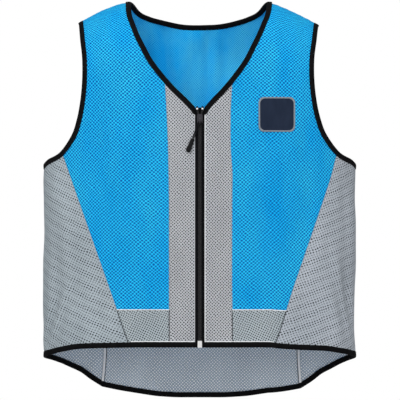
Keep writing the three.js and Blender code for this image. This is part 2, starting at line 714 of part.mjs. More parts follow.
// Back, from the wearer's left armhole across to the right
const backEdge = join(armholeEdge.map(toBack), backSideSeam)
const acrossBack = (line) => line.map(({ turn, along }) => ({ turn: 2 * Math.PI - turn, along }))
const backNeckLine = join(backNeckEdge, acrossBack(reversed(backNeckEdge)))
const backShoulder = shoulderSeam.map(toBack)
const backCross = Array.from({ length: tailStrips + 1 }, (_, k) => {
  const edge = backEdge.at(-stripCounts.hemPanel - 1).turn
  const turn = lerp(edge, 2 * Math.PI - edge, k / tailStrips)
  return { turn, along: place(halfWidth * Math.sin(turn), crossSeamDrop).along }
})
const besideNeck = toBack(shoulderSeam.at(-2))
const backNeck = stations(onBack(backNeckLine), -1, {
  0: swayed(besideNeck), [stripCounts.backNeck]: acrossBack([besideNeck])[0],
})
const armholeUp = ({ armhole }) => [armhole[0], ...reversed(armhole.slice(-stripCounts.armhole))]
let back = fill({
  top: onBack(join(backShoulder, backNeckLine, acrossBack(reversed(backShoulder)))),
  bottom: onBack(backCross),
  left: onBack(backEdge.slice(0, -stripCounts.hemPanel)), right: acrossBack(backEdge.slice(0, -stripCounts.hemPanel)),
})
back = bindLeft(back, armholeUp(leftLines))
back = bindRight(back, armholeUp(rightLines))
const shoulderColumns = stripCounts.shoulder + 1
back = bindTop(back, backNeck, shoulderColumns)
add('back_panel', wallOf(gridTriangles(back), panelWall), blue)

const tail = stations(onBack(hemTail), 1, {
  0: swayed(backSideSeam.at(-2)), [tailStrips]: acrossBack([backSideSeam.at(-2)])[0],
})
const footSeam = backSideSeam.slice(-stripCounts.hemPanel - 1)
let backFoot = fill({
  top: onBack(backCross), bottom: onBack(hemTail), left: onBack(footSeam), right: acrossBack(footSeam),
})
backFoot = bindBottom(backFoot, tail)
add('back_hem_panel', wallOf(gridTriangles(backFoot), meshWall), sideGrey)

// One binding round the neck, from zip to zip
add('neck_binding', binding([
  ...reversed(rightLines.neck), ...reversed(backNeck).slice(1, -1), ...leftLines.neck,
], zipStack), black)

// One binding round the hem, which crosses the zip's tapes and ends beside the zip's box
function hemEnd(station) {
  const shift = new THREE.Vector3(Math.sign(station.e.p.x) * (boxHalfWidth + clearance), 0, 0)
  const move = ({ p, n }) => ({ p: p.clone().setX(shift.x), n })
  return { e: move(station.e), m: move(station.m) }
}
add('hem_binding', binding([
  hemEnd(rightLines.hem[0]), ...rightLines.hem, ...reversed(tail).slice(1, -1),
  ...reversed(leftLines.hem), hemEnd(leftLines.hem[0]),
], zipStack), black)

// Zip. The frame of the zip at a distance down from the neck point: p on the cloth's outside, n out of it.
const zipTop = downAt(facingTop.at(-1))
const zipFoot = downAt(zipEdge.at(-1))
const zipPlace = (x, down) => node(place(x, down))
const sliderTop = zipTop + sliderDrop
const tapeTop = zipTop - 1.5
const tapeInset = 2.2 // of the tape's ends from the edges that the bindings wrap
const tapeRise = -meshWall - clearance

// How far each half of the zip stands from its closed place: open over the slider, closed below it.
const stopTop = zipTop + stopDrop
const sliderFoot = sliderTop + sliderLength
const SPREAD = [
  { down: tapeTop, spread: stopSpread * 1.08 },
  { down: stopTop + stopLength, spread: stopSpread },
  { down: sliderTop, spread: sliderSpread },
  { down: lerp(sliderTop, sliderFoot, 0.55), spread: sliderSpread * 0.4 },
  { down: sliderFoot, spread: 0 },
]
const spreadAt = (down) => readTable(SPREAD, 'down', 'spread', down)

function zipDowns(from, to) {
  const steps = [from]
  for (let k = 1; k <= 6; k++) steps.push(lerp(from, sliderFoot, k / 6))
  for (let k = 1; k <= frontSeam; k++) steps.push(lerp(sliderFoot, to, k / frontSeam))
  return steps
}

function neckDown(x) {
  const rows = neckPlaces.map((point) => ({ x: -halfWidth * Math.sin(point.turn), down: downAt(point) }))
  return readTable(rows, 'x', 'down', -x)
}

function tape(side) {
  const columns = [coilGap, (coilGap + zipOpening) / 2, zipOpening, tapeHalfWidth]
  const foot = zipFoot - tapeInset
  const rows = zipDowns(tapeTop, foot).map((down) => columns.map((x) => {
    const parted = x < zipOpening ? x + spreadAt(down) * (1 - x / zipOpening) : x
    const top = x < zipOpening ? tapeTop : neckDown(x) + tapeInset
    const shared = lerp(top, foot, (down - tapeTop) / (foot - tapeTop))
    return zipPlace(side * parted, x < zipOpening ? down : shared)
  }))
  return wallOf(gridTriangles(rows), tapeWall, tapeRise)
}

// Half of the closed coil: a rounded strip, flat where it meets its tape.
const coilTop = tapeRise + clearance + coilHeight
const coilSection = [
  [0, 0], [1, 0], [1, 0.5], [0.75, 0.9], [0.35, 1], [0, 0.85],
].map(([across, up]) => new THREE.Vector2(across, up))

function strip(side, from, to, width, rise) {
  const downs = zipDowns(from, to)
  const rings = downs.map((down) => {
    const { p, n } = zipPlace(0, down)
    const inner = coilGap + spreadAt(down)
    return coilSection.map(({ x, y }) => p.clone()
      .add(new THREE.Vector3(side * (inner + x * width), 0, 0))
      .addScaledVector(n, tapeRise + clearance + y * rise))
  })
  return bandOf(rings, coilSection, false)
}

for (const { name, side } of SIDES) {
  add(`zip_tape_${name}`, tape(side), black)
  const coilStart = stopTop + stopLength + clearance
  const coilEnd = zipFoot - boxLength - clearance
  add(`zip_coil_${name}`, strip(side, coilStart, coilEnd, coilWidth, coilHeight), blackPlastic)
}

// Small pieces are built in the zip's own frame, X across, Y up and Z out, and then set on the zip.
function setOnZip(mesh, down) {
  const { p, n } = zipPlace(0, down)
  const across = new THREE.Vector3(1, 0, 0)
  const up = n.clone().cross(across)
  mesh.matrix.makeBasis(across, up, n).setPosition(p)
  mesh.matrix.decompose(mesh.position, mesh.quaternion, mesh.scale)
  return mesh
}

function solidOf(geometry) {
  const bare = new THREE.BufferGeometry()
  bare.setAttribute('position', geometry.getAttribute('position').clone())
  if (geometry.index) bare.setIndex(geometry.index.clone())
  const merged = mergeVertices(bare, 1e-4)
  return new wasm.Manifold(new wasm.Mesh({
    numProp: 3, vertProperties: merged.getAttribute('position').array, triVerts: merged.index.array,
  }))
}

function geometryOf(solid) {
  const { vertProperties, triVerts } = solid.getMesh()
  const geometry = new THREE.BufferGeometry()
  geometry.setAttribute('position', new THREE.BufferAttribute(Float32Array.from(vertProperties), 3))
  geometry.setIndex(Array.from(triVerts))
  geometry.computeVertexNormals()
  return geometry
}

const slab = (width, height, thickness, x, y, z) => (
  new THREE.BoxGeometry(width, height, thickness).translate(x, y, z)
)

for (const { name, side } of SIDES) {
  const inner = coilGap + stopSpread
  const stop = slab(
    coilWidth, stopLength, coilHeight + stopRise,
    side * (inner + coilWidth / 2), 0, tapeRise + clearance + (coilHeight + stopRise) / 2,
  )
  setOnZip(add(`zip_top_stop_${name}`, stop, nickel), stopTop + stopLength / 2)
}

const bridgeStart = -sliderLength / 2 + 0.4 // the bridge's foot, up from the slider's middle
const loopUp = bridgeStart + bridgeWall + cordDiameter / 2 + 2 * clearance

// The slider: a plate over the coils and one behind the tapes, joined by the diamond that parts them
function slider() {
  const half = sliderLength / 2
  const footHalfWidth = coilGap + coilWidth + clearance + flangeWall + 0.15
  const sliderHalfWidth = footHalfWidth + 0.35
  const outline = new THREE.Shape()
  outline.moveTo(-footHalfWidth + 1, -half)
  outline.lineTo(footHalfWidth - 1, -half)
  outline.quadraticCurveTo(footHalfWidth, -half, footHalfWidth, -half + 1)
  outline.lineTo(sliderHalfWidth, half * 0.25)
  outline.quadraticCurveTo(sliderHalfWidth, half, sliderHalfWidth * 0.55, half)
  outline.lineTo(-sliderHalfWidth * 0.55, half)
  outline.quadraticCurveTo(-sliderHalfWidth, half, -sliderHalfWidth, half * 0.25)
  outline.lineTo(-footHalfWidth, -half + 1)
  outline.quadraticCurveTo(-footHalfWidth, -half, -footHalfWidth + 1, -half)
  const plate = (z) => new THREE.ExtrudeGeometry(outline, {
    depth: sliderPlate, bevelEnabled: false, curveSegments: 4,
  }).translate(0, 0, z)
  const topFace = coilTop + clearance
  const backFace = tapeRise - tapeWall - clearance - sliderPlate
  let body = solidOf(plate(topFace)).add(solidOf(plate(backFace)))
  const diamond = new THREE.Shape()
  const diamondTop = half - 0.7
  diamond.moveTo(-diamondHalfWidth, diamondTop)
  diamond.lineTo(-diamondHalfWidth * 0.5, diamondTop - diamondLength * 0.75)
  diamond.lineTo(0, diamondTop - diamondLength)
  diamond.lineTo(diamondHalfWidth * 0.5, diamondTop - diamondLength * 0.75)
  diamond.lineTo(diamondHalfWidth, diamondTop)
  body = body.add(solidOf(new THREE.ExtrudeGeometry(diamond, {
    depth: topFace - backFace + sliderPlate / 2, bevelEnabled: false,
  }).translate(0, 0, backFace + sliderPlate / 4)))
  const flangeDepth = topFace - (tapeRise + clearance)
  for (const side of [-1, 1]) {
    const flange = new THREE.Shape()
    const foot = side * (footHalfWidth - 0.15)
    const head = side * (sliderHalfWidth - 0.05)
    flange.moveTo(foot, -half + 0.6)
    flange.lineTo(head, -half + flangeLength)
    flange.lineTo(head - side * flangeWall, -half + flangeLength)
    flange.lineTo(foot - side * flangeWall, -half + 0.6)
    body = body.add(solidOf(new THREE.ExtrudeGeometry(flange, {
      depth: flangeDepth + sliderPlate / 2, bevelEnabled: false,
    }).translate(0, 0, topFace - flangeDepth)))
  }
  const arch = new THREE.Shape()
  const plateTop = topFace + sliderPlate
  const bridgeFoot = bridgeStart
  arch.moveTo(bridgeFoot, -sliderPlate / 2)
  arch.lineTo(bridgeFoot, bridgeRise * 0.6)
  arch.quadraticCurveTo(bridgeFoot, bridgeRise + bridgeWall, bridgeFoot + 3, bridgeRise + bridgeWall)
  arch.lineTo(bridgeFoot + bridgeSpan - 3, bridgeRise + bridgeWall)
  arch.quadraticCurveTo(
    bridgeFoot + bridgeSpan, bridgeRise + bridgeWall, bridgeFoot + bridgeSpan, bridgeRise * 0.6,
  )
  arch.lineTo(bridgeFoot + bridgeSpan, -sliderPlate / 2)
  arch.lineTo(bridgeFoot + bridgeSpan - bridgeWall, -sliderPlate / 2)
  arch.lineTo(bridgeFoot + bridgeSpan - bridgeWall, bridgeRise * 0.7)
  arch.lineTo(bridgeFoot + bridgeSpan - 3, bridgeRise)
  arch.lineTo(bridgeFoot + 2.2, bridgeRise)
  arch.lineTo(bridgeFoot + bridgeWall, bridgeRise * 0.85)
  arch.lineTo(bridgeFoot + bridgeWall, -sliderPlate / 2)
  const bridge = new THREE.ExtrudeGeometry(arch, {
    depth: 2 * bridgeHalfWidth, bevelEnabled: false, curveSegments: 3,
  })
  // The arch is drawn along the zip and stood up on the plate.
  bridge.applyMatrix4(new THREE.Matrix4().makeBasis(
    new THREE.Vector3(0, 1, 0), new THREE.Vector3(0, 0, 1), new THREE.Vector3(1, 0, 0),
  )).translate(-bridgeHalfWidth, 0, plateTop)
  return geometryOf(body.add(solidOf(bridge)))
}
const sliderMiddle = sliderTop + sliderLength / 2
setOnZip(add('zip_slider', slider(), blackPlastic), sliderMiddle)

// The box that the zip starts from, in front of the tapes between the ends of the hem binding
const boxHeight = meshWall + boxRise
const boxFront = tapeRise + clearance + boxHeight
const zipBox = () => {
  const block = slab(2 * boxHalfWidth, boxLength, boxHeight, 0, 0, tapeRise + clearance + boxHeight / 2)
  const groove = slab(1, boxLength * 0.45, 1, 0, boxLength * 0.3, boxFront)
  return geometryOf(solidOf(block).subtract(solidOf(groove)))
}
setOnZip(add('zip_bottom_box', zipBox(), nickel), zipFoot - boxLength / 2)

// Puller: a loop of cord through the slider's bridge and a moulded grip on its ends, resting on the cloth
const plateFront = coilTop + clearance + sliderPlate
const tilt = radians(pullTilt)
const loopHeight = plateFront + cordDiameter / 2 + clearance
const gripHeight = clearance + gripThickness / 2
const downPull = new THREE.Vector3(-Math.sin(tilt), -Math.cos(tilt), 0)
const acrossPull = new THREE.Vector3(Math.cos(tilt), -Math.sin(tilt), 0)
const loopFoot = new THREE.Vector3(0, loopUp, 0)
const strandGap = cordDiameter / 2 + clearance / 2

function pullPoint(down, across, height) {
  return loopFoot.clone().addScaledVector(downPull, down).addScaledVector(acrossPull, across).setZ(height)
}

function pullCord() {
  const reach = cordDrop - clearance
  const beside = bridgeHalfWidth + cordDiameter / 2 + clearance
  const strand = (side) => [
    pullPoint(reach, side * strandGap, gripHeight),
    pullPoint(reach * 0.8, side * strandGap, lerp(gripHeight, loopHeight, 0.2)),
    pullPoint(reach * 0.4, side * strandGap * 1.2, lerp(gripHeight, loopHeight, 0.75)),
    new THREE.Vector3(side * beside - 0.9, bridgeStart - 1.6, loopHeight),
    new THREE.Vector3(side * beside, bridgeStart + 0.4, loopHeight),
    new THREE.Vector3(side * (beside - 0.3), loopUp - 0.5, loopHeight),
  ]
  const top = new THREE.Vector3(0, loopUp, loopHeight)
  const route = new THREE.CatmullRomCurve3([...strand(-1), top, ...reversed(strand(1))], false, 'centripetal')
  const round = new THREE.Shape()
  const cordSides = 8
  for (let k = 0; k < cordSides; k++) {
    const angle = (2 * Math.PI * k) / cordSides
    const [x, y] = [Math.cos(angle), Math.sin(angle)].map((c) => (c * cordDiameter) / 2)
    if (k === 0) round.moveTo(x, y)
    else round.lineTo(x, y)
  }
  return new THREE.ExtrudeGeometry(round, { steps: 34, extrudePath: route, bevelEnabled: false })
}

// The grip's rings down its length. at: share of the length. wide: share of the end width. thick: share.
const GRIP = [
  { at: 0, wide: 0.5, thick: 0.75 },
  { at: 0.02, wide: 0.62, thick: 0.9 },
  { at: 0.06, wide: 0.86, thick: 1 },
  { at: 0.12, wide: 0.84, thick: 1 },
  { at: 0.16, wide: 0.74, thick: 0.96 },
  { at: 0.5, wide: 0.86, thick: 0.96 },
  { at: 0.8, wide: 1, thick: 1 },
  { at: 0.9, wide: 0.93, thick: 0.95 },
  { at: 0.96, wide: 0.72, thick: 0.8 },
  { at: 1, wide: 0.35, thick: 0.5 },
]
function pullGrip() {
  const ringSides = 12
  const section = Array.from({ length: ringSides }, (_, k) => {
    const angle = (2 * Math.PI * k) / ringSides
    const square = (c) => Math.sign(c) * Math.abs(c) ** 0.75
    return new THREE.Vector2(square(Math.cos(angle)), square(Math.sin(angle)))
  })
  const rings = GRIP.map(({ at, wide, thick }) => section.map(({ x, y }) => {
    const width = (wide * lerp(gripNeckWidth, gripEndWidth, at)) / 2 / lerp(0.86, 1, at)
    return pullPoint(cordDrop + at * gripLength, x * width, gripHeight + (y * thick * gripThickness) / 2)
  }))
  return bandOf(rings, section, false)
}
setOnZip(add('pull_cord', pullCord(), black), sliderMiddle)
setOnZip(add('pull_grip', pullGrip(), blackPlastic), sliderMiddle)

// Patch sewn on the wearer's left chest: a plain rectangle with round corners
function patch() {
  const outline = new THREE.Shape()
  const [w, h, r] = [patchWidth / 2, patchHeight / 2, patchCorner]
  outline.absarc(w - r, h - r, r, 0, quarter)
  outline.absarc(-w + r, h - r, r, quarter, Math.PI)
  outline.absarc(-w + r, -h + r, r, Math.PI, 3 * quarter)
  outline.absarc(w - r, -h + r, r, 3 * quarter, 4 * quarter)
  const rim = outline.getPoints(4).slice(0, -1)
  const rings = [1, 0.66, 0.33]
  const count = rim.length
  const nodes = rings.flatMap((share) => rim.map(({ x, y }) => (
    zipPlace(patchOut + x * share, patchDrop - y * share)
  )))
  nodes.push(zipPlace(patchOut, patchDrop))
  const triangles = []
  for (let k = 0; k < count; k++) {
    const next = (k + 1) % count
    for (let ring = 0; ring + 1 < rings.length; ring++) {
      const [a, b] = [ring * count + k, ring * count + next]
      triangles.push([a, b, b + count], [a, b + count, a + count])
    }
    const last = (rings.length - 1) * count
    triangles.push([last + k, last + next, nodes.length - 1])
  }
  return wallOf({ nodes, triangles }, patchWall, 2 * clearance + patchWall)
}
add('chest_patch', patch(), navy)

export default group
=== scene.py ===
# %% [markdown]
# A sleeveless cooling vest, made piece by piece around its measured model. The measured solids give every
# outline and size. What they lack is the finish: knitted mesh with its holes, folded binding with a row of
# stitches, a wound zip coil, seams that pull the cloth in, and the softness of the whole. Each piece below
# is drawn from the same few sizes as its solid and then takes that solid's place.

# %% Open the measured model
import math

import bpy
import numpy as np
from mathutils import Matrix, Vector


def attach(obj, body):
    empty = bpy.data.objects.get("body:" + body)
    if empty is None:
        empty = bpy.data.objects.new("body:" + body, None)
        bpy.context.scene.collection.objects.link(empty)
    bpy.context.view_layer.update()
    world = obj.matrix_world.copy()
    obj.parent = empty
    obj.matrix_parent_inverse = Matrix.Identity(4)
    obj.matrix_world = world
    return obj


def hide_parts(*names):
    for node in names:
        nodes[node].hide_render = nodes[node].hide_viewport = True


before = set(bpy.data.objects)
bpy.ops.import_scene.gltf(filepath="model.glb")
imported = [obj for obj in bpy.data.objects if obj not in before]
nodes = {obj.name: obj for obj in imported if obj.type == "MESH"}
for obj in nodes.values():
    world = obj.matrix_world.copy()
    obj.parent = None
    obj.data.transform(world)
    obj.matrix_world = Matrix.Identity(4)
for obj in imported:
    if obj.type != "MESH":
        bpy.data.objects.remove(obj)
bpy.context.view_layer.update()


def add_object(name, data):
    made = bpy.data.objects.new(name, data)
    bpy.context.scene.collection.objects.link(made)
    return made


# %% [markdown]
# The camera stands in front of the vest at the height of its middle, four metres off, with a long lens.
# From there 0.668 m fills the picture at the middle of the vest's depth, so the vest all but fills the
# frame. Everything round it is white and softly lit, as in a catalogue picture. The camera sees the floor
# and the studio pure white, but they light the cloth with little more than half of that, so that the lamps
# still model its folds.

# %% Camera
picture_width = 0.668
camera_distance = 4.0
camera_height = -0.328
camera_side = 0.0003
camera_data = bpy.data.cameras.new("camera")
camera_data.sensor_width = 36.0
camera_data.lens = camera_data.sensor_width * camera_distance / picture_width
camera = add_object("camera", camera_data)
camera.location = (camera_side, -camera_distance, camera_height)
camera.rotation_euler = (math.radians(90), 0, 0)
bpy.context.scene.camera = camera
print("lens", round(camera_data.lens, 1), "mm")


# %% White studio
studio_light, floor_light = 0.5, 0.6


def seen_white(owner, kind, output_kind, light_share):
    """White to the camera, and a dimmer source of light to the cloth."""
    owner.use_nodes = True
    tree = owner.node_tree
    tree.nodes.clear()
    shown, lighting = tree.nodes.new(kind), tree.nodes.new(kind)
    shown.inputs["Strength"].default_value = 1.0
    lighting.inputs["Strength"].default_value = light_share
    for source in (shown, lighting):
        source.inputs["Color"].default_value = (1, 1, 1, 1)
    path, mix = tree.nodes.new("ShaderNodeLightPath"), tree.nodes.new("ShaderNodeMixShader")
    tree.links.new(path.outputs["Is Camera Ray"], mix.inputs[0])
    tree.links.new(lighting.outputs[0], mix.inputs[1])
    tree.links.new(shown.outputs[0], mix.inputs[2])
    tree.links.new(mix.outputs[0], tree.nodes.new(output_kind).inputs["Surface"])


def make_floor(height=-0.76, radius=7.0, sides=48):
    angles = [2 * math.pi * k / sides for k in range(sides)]
    rim = [(radius * math.cos(a), radius * math.sin(a), height) for a in angles]
    mesh = bpy.data.meshes.new("floor")
    mesh.from_pydata(rim, [], [range(sides)])
    paper = bpy.data.materials.new("white paper")
    seen_white(paper, "ShaderNodeEmission", "ShaderNodeOutputMaterial", floor_light)
    mesh.materials.append(paper)
    add_object("floor", mesh)


make_floor()
world = bpy.data.worlds.new("studio")
seen_white(world, "ShaderNodeBackground", "ShaderNodeOutputWorld", studio_light)
bpy.context.scene.world = world
print("the cloth gets", studio_light, "of the studio's light and", floor_light, "of the floor's")


# %% Lights
def soft_light(name, place, aim, size, watts):
    data = bpy.data.lights.new(name, "AREA")
    data.shape = "SQUARE"
    data.size = size
    data.energy = watts
    light = add_object(name, data)
    light.location = place
    light.rotation_euler = (Vector(aim) - Vector(place)).to_track_quat("-Z", "Y").to_euler()


vest_middle = (0, 0, -0.33)
soft_light("key light", (-1.2, -2.4, 1.2), vest_middle, 1.4, 44)
soft_light("fill light", (1.5, -2.4, 0.5), vest_middle, 1.8, 19)
soft_light("top light", (0, -0.6, 2.0), vest_middle, 1.2, 12)
bpy.context.scene.view_settings.view_transform = "Standard"
bpy.context.scene.view_settings.look = "None"
print("lights:", [light.name for light in bpy.data.lights])

# %% [markdown]
# The vest stands as it is worn, so its cloth lies on one smooth shape: a flattened tube that rolls over
# into the shoulders. A place on it has two numbers, how far round it is and how far along the cloth down
# from the shoulder line. Working in these two numbers keeps every seam on the cloth. The sizes here are
# the measured model's own, in millimetres, and only become metres when a mesh is made.

# %% Sizes of the vest
MM = 0.001
half_width, half_depth, side_fullness, shoulder_roll = 260.0, 88.0, 0.35, 110.0
neck_half_width, shoulder_half_width = 115.0, 203.0
shoulder_tip_fall, shoulder_curve, left_shoulder_sag, left_sway = 36.0, 1.55, 6.0, 8.0
front_neck_depth, back_neck_depth, armhole_depth = 178.0, 33.5, 270.0
front_length, back_length, hem_panel_height = 571.0, 667.0, 61.5
cross_seam_drop = front_length - hem_panel_height
facing_half_width, front_seam_foot, back_seam_foot = 50.0, 114.0, 166.5
zip_opening = 7.75
panel_wall, mesh_wall, clearance = 2.0, 1.4, 0.3
binding_width = 8.5
quarter = math.pi / 2
# The wearer's sides, each with its way along x.
SIDES = ((-1, "right"), (1, "left"))
# Normals are taken at least this far from the shoulder line, so that both their samples lie on the cloth.
least_along = 0.2

# %% [markdown]
# Outlines and folds are short tables of shares, the same as the measured model's, so that the fine cloth
# and the solid under it agree. A table is read through a smooth curve that never overshoots its rows.

# %% Tables of the outline
# Armhole: share of the way from the shoulder's half width to the body's, share of the way down.
ARMHOLE = [
    (0, 0), (-0.09, 0.12), (-0.165, 0.27), (-0.165, 0.43), (-0.1, 0.58), (0, 0.7), (0.13, 0.795),
    (0.45, 0.91), (0.85, 0.968), (1, 1),
]
ARMHOLE_SEAM_ROW = 7
# Front neck: share of the neck's half width, share of the V's depth.
V_NECK = [
    (1, 0), (0.975, 0.13), (0.93, 0.215), (0.86, 0.33), (0.79, 0.42), (0.68, 0.555), (0.5, 0.71),
    (0.34, 0.825), (0.195, 0.915),
]
NECK_SEAM_ROW = 6
# Back neck, from the neck point to the centre.
BACK_NECK = [(1, 0), (0.87, 0.39), (0.73, 0.615), (0.58, 0.77), (0.42, 0.9), (0.25, 0.985), (0, 1)]
# Seams: share of the seam's height, share of the way to its foot.
FACING_SEAM = [(0, 0), (0.12, 0.45), (0.3, 0.85), (0.5, 1), (1, 1)]
BACK_SEAM = [(0, 0), (0.15, 0.37), (0.35, 0.69), (0.6, 0.945), (0.84, 1.07), (1, 1)]
# Hem: degrees round from the front, share of the way from the front length to the back length.
HEM_FRONT = [
    (0, 0), (20, 0), (37, 0.015), (49, 0.035), (62, 0.1), (75, 0.165), (90, 0.23), (104, 0.285),
    (115, 0.36), (122, 0.44), (128.5, 0.53), (134, 0.66), (140.2, 0.8),
]
HEM_TAIL = [(140.2, 0.8), (148.5, 0.87), (157, 0.93), (165, 0.98), (173, 1), (180, 1)]
# Body: share of the front length down, share of the half depth.
BODY = [(0, 0.93), (0.35, 1), (0.7, 0.97), (1, 1.02), (1.17, 1.04)]
# The left side against the right one's mirror image, and the sag of the left shoulder.
SWAY = [
    (0, -0.4), (0.12, -0.85), (0.3, -0.9), (0.42, -0.4), (0.52, 0.6), (0.8, 0.55), (1, 0.9), (1.17, 0.75),
]
SHOULDER_SAG = [(0, 0), (0.1, 0.35), (0.5, 0.95), (1, 1)]
# Folds: degrees round, share of the length down, lean in degrees, length, width and depth as shares.
FOLDS = [
    (-172, 0.2, 18, 0.17, 0.07, -0.05), (-160, 0.19, 20, 0.16, 0.08, 0.045),
    (168, 0.17, -38, 0.15, 0.09, 0.045), (152, 0.33, -12, 0.22, 0.1, -0.05),
    (-150, 0.45, 8, 0.24, 0.1, -0.05), (176, 0.75, 4, 0.3, 0.11, 0.04),
    (-161, 1.0, -4, 0.25, 0.09, -0.035), (158, 1.02, 5, 0.25, 0.09, -0.035),
    (-69, 0.9, -7, 0.17, 0.07, -0.05), (72, 0.86, 8, 0.17, 0.07, -0.045),
    (-112, 0.72, 5, 0.25, 0.08, -0.05), (114, 0.76, -5, 0.25, 0.08, -0.05),
    (-26, 0.93, -4, 0.16, 0.08, 0.03), (28, 0.9, 5, 0.16, 0.08, 0.03),
    (-40, 0.5, 14, 0.16, 0.09, -0.03), (43, 0.55, -13, 0.16, 0.09, -0.03),
]
print("armhole through", len(ARMHOLE), "places, neck through", len(V_NECK) + 1, "and", len(FOLDS), "folds")


# %% Read a table and measure a line
def read_table(rows, x):
    xs, ys = np.array(rows, float).T
    slope = np.diff(ys) / np.diff(xs)
    tangent = np.concatenate([[slope[0]], np.zeros(len(xs) - 2), [slope[-1]]])
    before, after = slope[:-1], slope[1:]
    same_way = before * after > 0
    tangent[1:-1][same_way] = (2 * before * after / (before + after + 1e-30))[same_way]
    x = np.clip(x, xs[0], xs[-1])
    i = np.clip(np.searchsorted(xs, x) - 1, 0, len(xs) - 2)
    span = xs[i + 1] - xs[i]
    t = (x - xs[i]) / span
    keep = (1 + 2 * t) * (1 - t) ** 2
    bend = span * (tangent[i] * t * (1 - t) ** 2 - tangent[i + 1] * t * t * (1 - t))
    return ys[i] * keep + ys[i + 1] * (1 - keep) + bend


def lengths_along(points):
    return np.concatenate([[0], np.cumsum(np.linalg.norm(np.diff(points, axis=0), axis=1))])


def read_at(wanted, known, line):
    return np.stack([np.interp(wanted, known, line[:, k]) for k in (0, 1)], -1)


print("halfway down, the body takes", round(float(read_table(BODY, 0.5)), 3), "of its half depth")


# %% [markdown]
# The shape itself comes from three things: the roll over the shoulders, the body's oval section and a few
# broad folds. The folds are low, smooth swellings, pushed out or in the way that the surface faces.

# %% The worn shape
def over_shoulder(x):
    return np.maximum(0, np.abs(x) - neck_half_width) / (shoulder_half_width - neck_half_width)


def shoulder_fall(x):
    return shoulder_tip_fall * over_shoulder(x) ** shoulder_curve


def shell(turn, along):
    out = np.sin(turn)
    roll = np.minimum(along / shoulder_roll, quarter)
    drop = shoulder_roll * (1 - np.cos(roll)) + np.maximum(0, along - shoulder_roll * quarter)
    x = half_width * out
    sag = left_shoulder_sag * read_table(SHOULDER_SAG, over_shoulder(x)) * np.cos(roll)
    down = shoulder_fall(x) + np.where(x > 0, sag, 0) + drop
    body = half_depth * read_table(BODY, down / front_length)
    depth = body * (1 + side_fullness * out * out) * np.sin(roll)
    return np.stack([x, -np.cos(turn) * depth, panel_wall - down], -1)


def normal_of(surface, turn, along):
    turn_step, along_step = 1e-3, least_along / 2
    across = surface(turn + turn_step, along) - surface(turn - turn_step, along)
    down = surface(turn, along + along_step) - surface(turn, along - along_step)
    n = np.cross(down, across)
    return n / np.linalg.norm(n, axis=-1, keepdims=True)


def fold_height(turn, z):
    height = np.zeros_like(z)
    hip_round = half_width * 0.8
    for degrees, share, lean, long, wide, deep in FOLDS:
        gap = turn - math.radians(degrees)
        girth = np.arctan2(np.sin(gap), np.cos(gap)) * hip_round
        below = panel_wall - share * front_length - z
        tilt = math.radians(lean)
        across = girth * math.cos(tilt) - below * math.sin(tilt)
        lengthways = girth * math.sin(tilt) + below * math.cos(tilt)
        spread = (across / (wide * half_width)) ** 2 + (lengthways / (long * front_length)) ** 2
        height += deep * half_depth * np.exp(-spread)
    return height


def draped(turn, along):
    turn, along = np.broadcast_arrays(np.asarray(turn, float), np.asarray(along, float))
    point = shell(turn, along)
    return point + normal_of(shell, turn, along) * fold_height(turn, point[..., 2])[..., None]


print("side of the vest, armhole's depth along the cloth:", np.round(draped(quarter, armhole_depth), 1), "mm")


# %% [markdown]
# A pattern maker measures across and down from the neck point. The helpers here turn such a place into the
# two numbers of the cloth, move it to the other side or to the back, and give the left side its own sway,
# because the vest in the picture isn't quite even.

# %% Places on the cloth
def place(x, down, back=False):
    drop = np.maximum(0, down - shoulder_fall(x))
    rolled = shoulder_roll * np.arccos(np.clip(1 - drop / shoulder_roll, -1, 1))
    along = np.where(drop < shoulder_roll, rolled, shoulder_roll * quarter + drop - shoulder_roll)
    turn = np.arcsin(np.clip(x / half_width, -1, 1))
    return np.stack([math.pi - turn if back else turn, along], -1)


def down_at(places):
    return panel_wall - shell(places[..., 0], places[..., 1])[..., 2]


def swayed(places):
    turn, along = places[..., 0], places[..., 1]
    x = half_width * np.sin(turn)
    wave = np.sin(math.pi * (x - zip_opening) / (half_width - zip_opening))
    shift = left_sway * read_table(SWAY, down_at(places) / front_length) * wave
    steep = np.abs(np.cos(turn)) < 1e-6
    moved = turn + np.where((x <= zip_opening) | steep, 0, shift / (half_width * np.cos(turn)))
    return np.stack([moved, along], -1)


def on_side(side, places):
    return swayed(places) if side > 0 else places * [-1, 1]


def to_back(places):
    return np.stack([math.pi - places[..., 0], places[..., 1]], -1)


def across_back(places):
    return np.stack([2 * math.pi - places[..., 0], places[..., 1]], -1)


print("foot of the armhole:", np.round(place(half_width, armhole_depth), 2), "radians and mm")


# %% Curves, seams and hems
def smooth_line(places, first, last, samples=400):
    """A smooth line through a few places, cut between two of them, as many even steps."""
    p = np.array(places) * [half_width, 1]
    p = np.vstack([2 * p[0] - p[1], p, 2 * p[-1] - p[-2]])
    t = np.linspace(first, last, samples + 1)
    i = np.minimum(t.astype(int), len(places) - 2)
    u = (t - i)[:, None]
    a, b, c, d = p[i], p[i + 1], p[i + 2], p[i + 3]
    ab, bc, cd = (np.sqrt(np.linalg.norm(q - r, axis=1))[:, None] for q, r in ((b, a), (c, b), (d, c)))
    leave = ((b - a) / ab - (c - a) / (ab + bc) + (c - b) / bc) * bc
    arrive = ((c - b) / bc - (d - b) / (bc + cd) + (d - c) / cd) * bc
    line = (
        (2 * u**3 - 3 * u**2 + 1) * b + (u**3 - 2 * u**2 + u) * leave
        + (3 * u**2 - 2 * u**3) * c + (u**3 - u**2) * arrive
    )
    length = lengths_along(line)
    return read_at(np.linspace(0, length[-1], samples + 1), length, line) / [half_width, 1]


